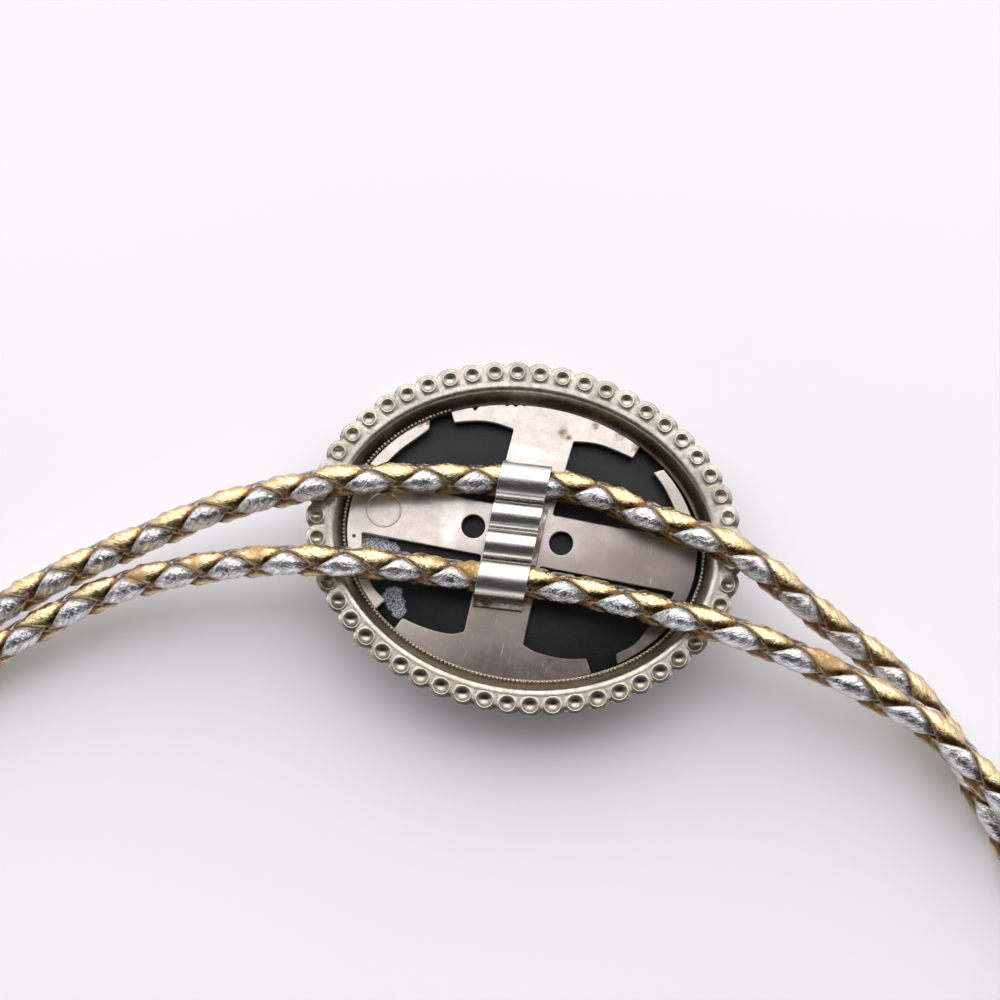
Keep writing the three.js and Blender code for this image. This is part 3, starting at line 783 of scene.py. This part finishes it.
# The flange's inner edge, from the bead oval.
INNER_EDGE = -1.22
# Each pair below holds a value for the oval's upper part and one for its lower side, where the
# border is a little narrower. The scalloped edge, from the bead oval, between beads and at a bead:
VALLEY_EDGE = (1.05, 0.68)
TIP_EDGE = (1.6, 1.2)
# A bowl's half sizes out from the oval and along it, how far out its middle lies, its depth as a
# share of BOWL_PROFILE's, and how much painted shade blackens its wall towards the view's top:
BOWL_OUT = (0.7, 0.86)
BOWL_ALONG = (0.74, 0.93)
BOWL_SHIFT = (0.27, -0.1)
BOWL_DEPTH = (0.85, 1.25)
BOWL_SHADE = (0.3, 0.85)
# Points along each side of a bead's field, and along its outer and inner arc.
SIDE_POINTS = 7
ARC_POINTS = 12
# How far the sheet lies below FLANGE_BACK: between beads, at a valley and at a bead's tip.
WEB_DROP = 0.03
VALLEY_DROP = 0.28
TIP_DROP = 0.07
RIM_THICKNESS = 0.62
# The bowl's floor and wall: share of its radius, and depth in millimetres.
BOWL_PROFILE = [
    (0.16, 0.43), (0.32, 0.4), (0.48, 0.345), (0.62, 0.275), (0.74, 0.205), (0.84, 0.14), (0.92, 0.085),
    (1.0, 0.03),
]
BOWL_FLOOR = 0.44
# The raised lip round a bowl: share of its width, and share of its height.
BOWL_LIP = [(0.3, 1.0), (0.65, 0.85), (1.0, 0.0)]
LIP_WIDTH = 0.22
LIP_HEIGHT = 0.02
# The bead's domed front: share of its reach, and depth below the flange in millimetres.
BEAD_FRONT = [
    (1.0, RIM_THICKNESS), (0.96, 0.7), (0.88, 0.8), (0.8, 1.1), (0.66, 1.42), (0.45, 1.66), (0.2, 1.78),
]
BEAD_FRONT_REACH = 1.5
BEAD_FRONT_DEPTH = 1.8


def lower(pair, angle):
    """A value that goes from the first to the second of a pair towards the oval's lower side."""
    share = min(1.0, max(0.0, 0.35 - math.sin(angle)))
    return pair[0] + (pair[1] - pair[0]) * share


def side_point(angle, share):
    """A point between two beads, with its height below the flange's level: share is 0 at the
    scalloped edge's valley, where the sheet dips most, and 1 at the flange's inner edge."""
    valley = lower(VALLEY_EDGE, angle)
    offset = valley + (INNER_EDGE - valley) * share
    dip = (VALLEY_DROP - WEB_DROP) * max(0.0, offset / valley) ** 4
    return (*oval_point(offset, angle), -WEB_DROP - dip)


def sector_border(low, high):
    """The border of the bead's field between two angles, anticlockwise from the outer arc's start:
    points and heights below the flange's level."""
    points = []
    for k in range(ARC_POINTS):
        share = k / ARC_POINTS
        across = abs(2 * share - 1)
        angle = low + (high - low) * share
        valley = lower(VALLEY_EDGE, angle)
        reach = valley + (lower(TIP_EDGE, angle) - valley) * (1 - across**2.2)
        points.append((*oval_point(reach, angle), -TIP_DROP - (VALLEY_DROP - TIP_DROP) * across**4))
    points += [side_point(high, k / SIDE_POINTS) for k in range(SIDE_POINTS)]
    for k in range(ARC_POINTS):
        angle = high + (low - high) * k / ARC_POINTS
        points.append((*oval_point(INNER_EDGE, angle), -WEB_DROP))
    points += [side_point(low, 1 - k / SIDE_POINTS) for k in range(SIDE_POINTS)]
    return points


def bead_rays(centre, middle, border):
    """A ray from a bowl's middle to each point of the border: its direction, its length, where the
    bowl's rim crosses it and the border's height there."""
    nx, ny = math.cos(middle) / BEAD_OVAL[0], math.sin(middle) / BEAD_OVAL[1]
    size = math.hypot(nx, ny)
    nx, ny = nx / size, ny / size
    rays = []
    for x, y, drop in border:
        dx, dy = x - centre[0], y - centre[1]
        reach = math.hypot(dx, dy)
        ux, uy = dx / reach, dy / reach
        radial = ux * nx + uy * ny
        sideways = math.sqrt(max(0.0, 1 - radial * radial))
        rim = 1 / math.hypot(radial / lower(BOWL_OUT, middle), sideways / lower(BOWL_ALONG, middle))
        rays.append((ux, uy, reach, rim, drop))
    return rays


def bead_faces(count):
    """The faces between a bead's rings of points, and along its scalloped edge."""
    front = 1 + (len(BOWL_PROFILE) + len(BOWL_LIP) + 2) * count
    last = front + len(BEAD_FRONT) * count
    faces = []
    for k in range(count):
        j = (k + 1) % count
        faces.append((0, 1 + k, 1 + j))
        for a in range(1, front - count, count):
            faces.append((a + k, a + count + k, a + count + j, a + j))
    for k in range(count):
        j = (k + 1) % count
        for a in range(front, last - count, count):
            faces.append((a + j, a + count + j, a + count + k, a + k))
        faces.append((last - count + j, last, last - count + k))
        if k < ARC_POINTS:
            a = front - count
            faces.append((a + k, front + k, front + j, a + j))
    return faces


def bead_field(middle, border):
    """One bead seen from both sides: rings of points from the bowl's middle out to the border,
    and from the border in over the domed front."""
    cx, cy = oval_point(lower(BOWL_SHIFT, middle), middle)
    rays = bead_rays((cx, cy), middle, border)
    deep = lower(BOWL_DEPTH, middle)
    shade_amount = lower(BOWL_SHADE, middle)
    _, up = photo_axes()
    vertices = [(cx, cy, FLANGE_BACK - BOWL_FLOOR * deep)]
    grime = [0.04]
    black = [0.0]

    def add(ux, uy, far, height, dirt):
        vertices.append((cx + ux * far, cy + uy * far, FLANGE_BACK + height))
        grime.append(dirt)

    for share, depth in BOWL_PROFILE:
        for ux, uy, _, rim, _ in rays:
            add(ux, uy, rim * share, -depth * deep, 0.3 if share > 0.9 else 0.04)
            # Painted shade: near black on the bowl's wall towards the view's top.
            side = (ux * up.x + uy * up.y) * share
            black.append(shade_amount * min(1.0, max(0.0, (side - 0.05) / 0.3)) * (share < 0.95))
    for share, lift in BOWL_LIP:
        for ux, uy, reach, rim, drop in rays:
            width = min(LIP_WIDTH, reach - rim - 0.01)
            room = min(1.0, (reach - rim - width) / 0.15)
            foot = drop * (1 - room) - 0.045 * room
            add(ux, uy, rim + width * share, foot + (LIP_HEIGHT - foot) * lift, 0.0 if lift else 0.4)
    for ux, uy, reach, rim, drop in rays:
        start = min(rim + LIP_WIDTH, reach - 0.01)
        add(ux, uy, start + (reach - start) * 0.62, -0.025 + drop * 0.3, 0.05)
    for x, y, drop in border:
        vertices.append((x, y, FLANGE_BACK + drop))
        grime.append(0.45 if drop < -0.06 else 0.06)
    for share, depth in BEAD_FRONT:
        for ux, uy, reach, _, _ in rays:
            limit = reach if share == 1.0 else min(reach, BEAD_FRONT_REACH)
            add(ux, uy, limit * share, -depth, 0.1)
    add(0, 0, 0, -BEAD_FRONT_DEPTH, 0.1)
    black += [0.0] * (len(vertices) - len(black))
    return vertices, bead_faces(len(rays)), grime, black


# The frame's section inside the beads: offset from the bead oval, height, tarnish.
FRAME_SECTION = [
    (-1.4, 9.19, 0.0), (-1.6, 9.16, 0.0), (-1.78, 9.09, 0.0), (-1.94, 8.97, 0.06), (-2.08, 8.79, 0.2),
    (-2.22, 8.55, 0.45), (-2.36, 8.27, 0.7), (-2.52, 7.97, 0.85), (-2.68, 7.7, 0.95), (-2.83, 7.48, 0.95),
    (-2.92, 7.34, 0.95), (-3.05, 7.28, 0.85), (-3.3, 7.27, 0.7), (-3.36, 7.248, 0.7), (-3.3, 7.226, 0.7),
    (-2.96, 7.2, 0.95), (-2.95, 6.6, 0.95), (-2.95, 4.4, 0.5), (-3.6, 3.85, 0.2),
    (-4.3, 3.21, 0.2), (-4.34, 2.9, 0.05), (-4.2, 2.62, 0.0), (-3.6, 2.98, 0.0), (-2.9, 3.5, 0.0),
    (-2.4, 4.1, 0.1), (-2.12, 4.8, 0.2), (-2.05, 6.4, 0.35), (-1.95, 8.0, 0.45), (-1.6, 8.45, 0.4),
]


def frame_ring(borders):
    """The ridge, wall, collar and front lip, as rings that start and end on the beads' borders."""
    vertices, faces, grime = [], [], []
    start = ARC_POINTS + SIDE_POINTS
    for low, high in zip(borders, borders[1:]):
        inner = sector_border(low, high)[start : start + ARC_POINTS + 1]
        for k in range(ARC_POINTS):
            x, y, drop = inner[ARC_POINTS - k]
            angle = low + (high - low) * k / ARC_POINTS
            vertices.append((x, y, FLANGE_BACK + drop))
            vertices.extend((*oval_point(offset, angle), height) for offset, height, _ in FRAME_SECTION)
            vertices.append((x, y, FLANGE_BACK - RIM_THICKNESS))
            grime += [0.2, *(dirt for _, _, dirt in FRAME_SECTION), 0.2]
    count = BEAD_COUNT * ARC_POINTS
    width = len(FRAME_SECTION) + 2
    for k in range(count):
        j = (k + 1) % count
        for m in range(width - 1):
            faces.append((k * width + m, j * width + m, j * width + m + 1, k * width + m + 1))
    return vertices, faces, grime, [0.0] * len(vertices)


# The grains: where their row lies from the bead oval, its height, and the angles that it spans.
GRAIN_OFFSET = -3.12
GRAIN_HEIGHT = 7.42
GRAIN_SPAN = (math.radians(122), math.radians(375))
GRAIN_RADIUS = 0.26
GRAIN_SPACING = (0.46, 0.54)


def milgrain():
    """The row of small raised grains round the foot of the wall, worn away along its far side."""
    rng = random.Random(3)
    vertices, faces, grime = [], [], []
    ball, ball_faces = turned([(0, -1), (0.7, -0.7), (1.0, 0.0), (0.72, 0.68), (0, 1.0)], 8)
    angle = GRAIN_SPAN[0]
    half_x, half_y = BEAD_OVAL[0] + GRAIN_OFFSET, BEAD_OVAL[1] + GRAIN_OFFSET
    while angle < GRAIN_SPAN[1]:
        x, y = oval_point(GRAIN_OFFSET, angle)
        radius = GRAIN_RADIUS * rng.uniform(0.85, 1.15)
        grain = [(x + u * radius, y + v * radius, GRAIN_HEIGHT + w * radius * 0.9) for u, v, w in ball]
        add_mesh(vertices, faces, grain, ball_faces)
        grime += [0.15 if w > 0.3 else 0.7 for _, _, w in ball]
        angle += rng.uniform(*GRAIN_SPACING) / math.hypot(half_x * math.sin(angle), half_y * math.cos(angle))
    return vertices, faces, grime


def make_bezel(material):
    middles, borders = bead_angles()
    parts = [
        bead_field(middle, sector_border(low, high))
        for middle, low, high in zip(middles, borders, borders[1:])
    ]
    parts.append(frame_ring(borders))
    vertices, faces, grime, black = [], [], [], []
    for more, more_faces, dirt, painted_shade in parts:
        add_mesh(vertices, faces, more, more_faces)
        grime.extend(dirt)
        black.extend(painted_shade)
    made = piece("beaded_bezel", vertices, faces, [material], {"grime": grime, "black": black})
    welded(made, 0.004)
    made.data.set_sharp_from_angle(angle=math.radians(50))
    more, more_faces, dirt = milgrain()
    joined(made, piece("milgrain", more, more_faces, [material], {"grime": dirt}))
    return place_piece(made, "bezel_frame")


# The dome's profile starts beside its flat, this many degrees from the middle, and ends at 90.
FLAT_ANGLE = 9.2


def make_stone(material):
    def dome(share):
        return DOME_HEIGHT * (1 - (1 - share * share) ** DOME_ROUNDNESS)

    lift = dome(STONE_FLAT_SHARE)
    rise = DOME_HEIGHT / (DOME_HEIGHT - lift)
    profile = [(0, 0), (STONE_FLAT_SHARE * 0.97, 0)]
    for k in range(40):
        share = math.sin(math.radians(FLAT_ANGLE + (90 - FLAT_ANGLE) * (k + 1) / 40))
        profile.append((share, (dome(share) - lift) * rise))
    edge = STONE_HEIGHT
    profile += [(1.0, edge - 0.25), (0.997, edge - 0.08), (0.99, edge), (0.6, edge), (0, edge)]
    made = piece("stone", *turned(profile, 128, STONE_HALF), [material], sharp=40)
    return place_piece(made, "cabochon")


# The back plate's outline, in millimetres.
PLATE_CENTRE = (-0.2, 0.0)
PLATE_HALF = (21.5, 17.05)
CROSS_CENTRE = (-0.9, 0.65)
# The crossing bars: width, and turn in degrees.
BARS = {"long": (6.6, -1.4), "short": (7.3, -4.0)}
HOLE_RADIUS = 1.42
HOLE_SPACING = 10.9
CORNER_RADIUS = 0.32
PLATE_ROUNDING = 0.14
# The round stamp: its middle, radius, and half the width and height of its line.
STAMP_CENTRE = (-17.45, 0.96)
STAMP_RADIUS = 2.05
STAMP_LINE = (0.11, 0.05)
# Small dents in the top head's edge: where, half as wide, how deep.
PLATE_DENTS = [(-8.6, 0.35, 0.7), (-4.8, 0.3, 0.45), (-3.8, 0.3, 0.5), (-2.7, 0.25, 0.4)]
# Each quarter, anticlockwise from the upper right: the outer corner and the inner edge of the head
# before the gap, out to the bar, then the inner edge and the outer corner of the head behind it.
QUARTERS = [
    ((15.8, 12.0), [(14.2, 11.1), (15.6, 9.7), (16.8, 8.1), (18.3, 5.6), (19.0, 3.5)],
     [(4.0, 13.2), (5.8, 13.4), (7.5, 13.35), (9.2, 13.0), (11.5, 12.4)], (12.35, 14.2)),
    ((-11.8, 14.8), [(-10.85, 13.1), (-9.2, 13.55), (-7.4, 13.87), (-5.7, 13.87), (-3.55, 13.5)],
     [(-19.5, 4.3), (-18.9, 5.6), (-17.9, 7.1), (-16.6, 8.8), (-15.15, 10.3), (-13.7, 11.8)], (-14.4, 13.6)),
    ((-16.35, -11.3), [(-15.3, -9.85), (-16.5, -9.05), (-17.5, -8.1), (-18.9, -5.6), (-19.6, -2.25)],
     [(-5.3, -12.1), (-6.6, -12.6), (-8.6, -12.62), (-11.2, -12.2), (-12.95, -11.7)], (-13.75, -13.25)),
    ((10.9, -14.7), [(9.9, -12.8), (8.8, -13.07), (7.1, -13.3), (5.4, -13.27), (3.6, -13.05), (2.1, -12.5)],
     [(19.1, -3.15), (18.3, -5.2), (16.75, -7.7), (15.25, -10.2), (13.3, -11.7)], (13.75, -13.05)),
]


def plate_point(angle):
    """A point on the plate's oval edge, with the dents at its top head."""
    x = PLATE_HALF[0] * math.cos(angle) + PLATE_CENTRE[0]
    y = PLATE_HALF[1] * math.sin(angle) + PLATE_CENTRE[1]
    dent = 0.0
    for middle, width, depth in PLATE_DENTS:
        if y > 10:
            dent = max(dent, depth * max(0.0, 1 - ((x - middle) / width) ** 2))
    return x, y - dent


def plate_angle(corner):
    x = (corner[0] - PLATE_CENTRE[0]) / PLATE_HALF[0]
    y = (corner[1] - PLATE_CENTRE[1]) / PLATE_HALF[1]
    return math.atan2(y, x) % (2 * math.pi)


def bar_corner(sign_x, sign_y):
    """Where two sides of the crossing bars meet, in one quarter."""
    long_width, long_turn = BARS["long"]
    short_width, short_turn = BARS["short"]
    a = math.tan(math.radians(long_turn))
    b = -math.tan(math.radians(short_turn))
    rise = sign_y * long_width / 2 / math.cos(math.radians(long_turn))
    run = sign_x * short_width / 2 / math.cos(math.radians(short_turn))
    x = (run + b * rise) / (1 - a * b)
    return CROSS_CENTRE[0] + x, CROSS_CENTRE[1] + rise + a * x


def flowing(points, steps):
    """A smooth curve through a few points in the plane."""
    route = [(x * MM, y * MM, 0) for x, y in points]
    _, line = smooth_line(route, 0.1)
    rows = np.linspace(0, len(line) - 1, steps).astype(int)
    return [(line[row][0], line[row][1]) for row in rows]


def rounded_corners(loop, radius, sharpness):
    """A loop of points whose sharp corners are cut to small curves."""
    result = []
    for i, here in enumerate(loop):
        before, after = Vector(loop[i - 1]), Vector(loop[(i + 1) % len(loop)])
        point = Vector(here)
        back, ahead = before - point, after - point
        if math.pi - back.angle(ahead, math.pi) < sharpness:
            result.append(here)
            continue
        start = point + back.normalized() * min(radius, back.length * 0.45)
        finish = point + ahead.normalized() * min(radius, ahead.length * 0.45)
        for k in range(5):
            t = k / 4
            result.append(tuple(start * (1 - t) ** 2 + point * 2 * t * (1 - t) + finish * t**2))
    return result


def plate_outline():
    """The cross with its four heads as one loop: along each head's outer arc, in through the gap,
    back to the bar, into the corner between the bars, out along the next bar and to the gap."""
    outline = []
    signs = [(1, 1), (-1, 1), (-1, -1), (1, -1)]
    for quarter, (outer, edge, next_edge, _) in enumerate(QUARTERS):
        start = plate_angle(QUARTERS[quarter - 1][3])
        end = plate_angle(outer)
        span = (end - start) % (2 * math.pi)
        steps = int(span / math.radians(0.8))
        outline += [plate_point(start + span * k / steps) for k in range(steps + 1)]
        outline += flowing(edge, 20)
        outline.append(bar_corner(*signs[quarter]))
        outline += flowing(next_edge, 20)
    return rounded_corners(outline, CORNER_RADIUS, math.radians(28))


def make_plate(material):
    outlines = [plate_outline()]
    turn = math.radians(BARS["long"][1])
    for side in (-1, 1):
        x = CROSS_CENTRE[0] + side * HOLE_SPACING / 2 * math.cos(turn)
        y = CROSS_CENTRE[1] + side * HOLE_SPACING / 2 * math.sin(turn)
        hole = [2 * math.pi * k / 40 for k in range(40)]
        outlines.append([(x + HOLE_RADIUS * math.cos(a), y - HOLE_RADIUS * math.sin(a)) for a in hole])
    made = slab("pierced_plate", outlines, PLATE_THICKNESS / 2, PLATE_ROUNDING, material)
    made.data.transform(Matrix.Translation((0, 0, (PLATE_TOP - PLATE_THICKNESS / 2) * MM)))
    joined(made, stamp_ring(material))
    return place_piece(made, "back_plate")


def stamp_ring(material):
    sides, width = 48, 8
    vertices, faces = [], []
    for i in range(sides):
        a = 2 * math.pi * i / sides
        for j in range(width):
            b = 2 * math.pi * j / width
            r = STAMP_RADIUS + STAMP_LINE[0] * math.cos(b)
            x, y = STAMP_CENTRE[0] + r * math.cos(a), STAMP_CENTRE[1] + r * math.sin(a)
            vertices.append((x, y, PLATE_TOP + STAMP_LINE[1] * math.sin(b)))
            k, m = (i + 1) % sides, (j + 1) % width
            faces.append((i * width + j, k * width + j, k * width + m, i * width + m))
    return piece("plate_stamp", vertices, faces, [material])


# The clip, in millimetres.
CLIP_LENGTH = 6.0
CLIP_CENTRE = (-1.4, 0.65)
CLIP_SHEET = 0.35
CLIP_FOOT = 0.7
CLIP_ROUNDING = 0.06
# The outer rolls, which hold the cords, and how much lower the two middle ones are.
ROLL_SPACING = 12.3
ROLL_INNER = 2.15
ROLL_HEIGHT = 1.9
MIDDLE_DROP = 0.5
# The strip that the clip stands on: how far it reaches from the clip's middle, and its height.
STRIP_REACH = CLIP_LENGTH / 2 + 0.55
STRIP_HEIGHT = 0.5
# The clip is a little askew: how far along y for each mm along x, and along x for each along y.
CLIP_SKEW = 0.056
CLIP_LEAN = 0.04


def arc(centre, radius, start, end, steps):
    angles = [math.radians(start + (end - start) * k / steps) for k in range(steps + 1)]
    return [(centre[0] + radius * math.cos(a), centre[1] + radius * math.sin(a)) for a in angles]


def make_clip(material):
    cord_height = CLIP_BASE + ROLL_HEIGHT
    outer = ROLL_INNER + CLIP_SHEET
    roll = ROLL_SPACING / 2
    middle = (roll - outer) / 2
    middle_height = cord_height + outer - MIDDLE_DROP - middle
    foot = -roll - outer - CLIP_FOOT
    outline = [(foot, CLIP_BASE), (foot, CLIP_BASE + CLIP_SHEET)]
    outline += [(-roll - outer - 0.08, CLIP_BASE + CLIP_SHEET + 0.05)]
    outline += arc((-roll, cord_height), outer, 180, 8, 30)
    outline += arc((-middle, middle_height), middle, 168, 12, 24)
    outline += arc((middle, middle_height), middle, 168, 12, 24)
    outline += arc((roll, cord_height), outer, 172, 0, 30)
    outline += [(roll + outer, CLIP_BASE), (roll + ROLL_INNER, CLIP_BASE)]
    outline += arc((roll, cord_height), ROLL_INNER, 0, 180, 24)
    outline += [(roll - ROLL_INNER, CLIP_BASE), (ROLL_INNER - roll, CLIP_BASE)]
    outline += arc((-roll, cord_height), ROLL_INNER, 0, 180, 24)
    outline += [(-roll - ROLL_INNER, CLIP_BASE)]
    holes = [arc((side * middle, middle_height), middle - CLIP_SHEET, 0, 350, 22) for side in (-1, 1)]
    made = slab("corrugated_clip", [outline, *holes], CLIP_LENGTH / 2, CLIP_ROUNDING, material)
    strip = [(-2 * middle, CLIP_BASE), (2 * middle, CLIP_BASE)]
    strip += [(x, CLIP_BASE + STRIP_HEIGHT) for x, _ in reversed(strip)]
    base = slab("clip_base", [strip], STRIP_REACH / 2, CLIP_ROUNDING, material)
    base.data.transform(Matrix.Translation((0, 0, STRIP_REACH / 2 * MM)))
    joined(made, base)
    along_x = Matrix((
        (CLIP_LEAN, 0, 1, CLIP_CENTRE[0] * MM),
        (1, 0, CLIP_SKEW, CLIP_CENTRE[1] * MM),
        (0, 1, 0, 0),
        (0, 0, 0, 1),
    ))
    made.data.transform(along_x)
    return place_piece(made, "cord_clip")


# The tips, in millimetres: radius, and distance from the mouth.
TIP_PROFILE = [
    (0, 3.5), (2.1, 3.5), (2.15, 3.3), (2.15, 0.15), (2.25, 0.0), (2.75, 0.0), (2.88, 0.08), (2.9, 0.22),
    (2.9, 1.2), (2.84, 1.36), (2.7, 1.46), (2.6, 1.6), (2.6, 5.5), (2.4, 11.0), (2.13, 18.0),
    (1.82, 26.0), (1.55, 33.6), (1.5, 34.6), (1.32, 35.3), (0.95, 35.8), (0.5, 36.0), (0, 36.0),
]
# The socket's depth, the gap from the cord's end to its bottom, and the height of the tip's axis.
TIP_SOCKET = 3.5
FIT_GAP = 0.3
TIP_REST = 2.9


def make_tip(number, route, material):
    before, last = (Vector(p) / MM for p in route[-2:])
    heading = Vector((last.x - before.x, last.y - before.y, 0)).normalized()
    mouth = last + heading * (FIT_GAP - TIP_SOCKET)
    made = piece("metal_tip_" + number, *turned(TIP_PROFILE, 48), [material], sharp=35)
    aim = Matrix.Rotation(math.atan2(heading.y, heading.x), 4, "Z") @ Matrix.Rotation(math.pi / 2, 4, "Y")
    made.data.transform(Matrix.Translation(Vector((mouth.x, mouth.y, TIP_REST)) * MM) @ aim)
    welded(made, 0.001)
    return place_piece(made, "cord_tip_" + number)


# The floor and the light
def make_floor():
    mesh = bpy.data.meshes.new("floor")
    half = 4.0
    corners = [(-half, -half, 0), (half, -half, 0), (half, half, 0), (-half, half, 0)]
    mesh.from_pydata(corners, [], [(0, 1, 2, 3)])
    material, tree, place = new_material("floor", 0.0, 0.6)
    color = mixed(tree, noise(tree, place, 14, 2), (0.935, 0.915, 0.945), (0.955, 0.935, 0.965))
    mesh.materials.append(finished(material, color))
    add_object("floor", mesh)


def make_window(up):
    """A wide soft light from beyond the photo's upper edge, aimed at the slide."""
    data = bpy.data.lights.new("window", "AREA")
    data.shape = "RECTANGLE"
    data.size, data.size_y = 1.8, 1.2
    data.energy = 7.6
    light = add_object("window", data)
    light.location = up * 0.62 + Vector((0, 0, 0.62))
    light.rotation_mode = "QUATERNION"
    light.rotation_quaternion = (-light.location).to_track_quat("-Z", "Y")


def make_sky(up):
    """A room round the object: dark overhead, pale at the horizon and brighter on the lit side."""
    world = bpy.data.worlds.new("studio")
    world.use_nodes = True
    tree = world.node_tree
    sky = next(n for n in tree.nodes if n.type == "BACKGROUND")
    ray = node(tree, "ShaderNodeTexCoord").outputs["Generated"]
    toward = node(tree, "ShaderNodeVectorMath", {"operation": "DOT_PRODUCT"}, _0=ray, _1=up).outputs["Value"]
    overhead = mapped(tree, axis_value(tree, ray, "Z"), 0.12, 0.42)
    shade = mixed(tree, overhead, (1.1, 1.1, 1.14), (0.06, 0.06, 0.066))
    shade = mixed(tree, mapped(tree, toward, -0.12, 0.22), shade, (0.98, 0.97, 1.0))
    tree.links.new(shade, sky.inputs["Color"])
    sky.inputs["Strength"].default_value = 1.15
    bpy.context.scene.world = world


def main():
    make_camera()
    gold = foil_lace(
        "gold_lace", bright=(0.95, 0.8, 0.48), deep=(0.55, 0.33, 0.12), edge=(0.44, 0.31, 0.16),
        dip_dirt_and_shade=(0.15, 0.075, 0.025), grain_scale=2400, crumple=0.5,
    )
    silver = foil_lace(
        "silver_lace", bright=(0.88, 0.88, 0.88), deep=(0.3, 0.28, 0.28), edge=(0.62, 0.55, 0.47),
        dip_dirt_and_shade=(0.2, 0.17, 0.15), grain_scale=2800, crumple=0.7,
    )
    cord_materials = [gold, silver, leather_core()]
    tails = make_tails(cord_materials)
    make_neck(cord_materials)
    metal = tip_metal()
    tips = [make_tip("1", TAIL_1_ROUTE, metal), make_tip("2", TAIL_2_ROUTE, metal)]
    make_bezel(nickel_frame())
    make_stone(black_stone())
    make_plate(nickel_plate())
    make_clip(clip_steel())
    make_floor()
    _, up = photo_axes()
    make_window(up)
    make_sky(up)
    bpy.context.scene.view_settings.view_transform = "Standard"


main()
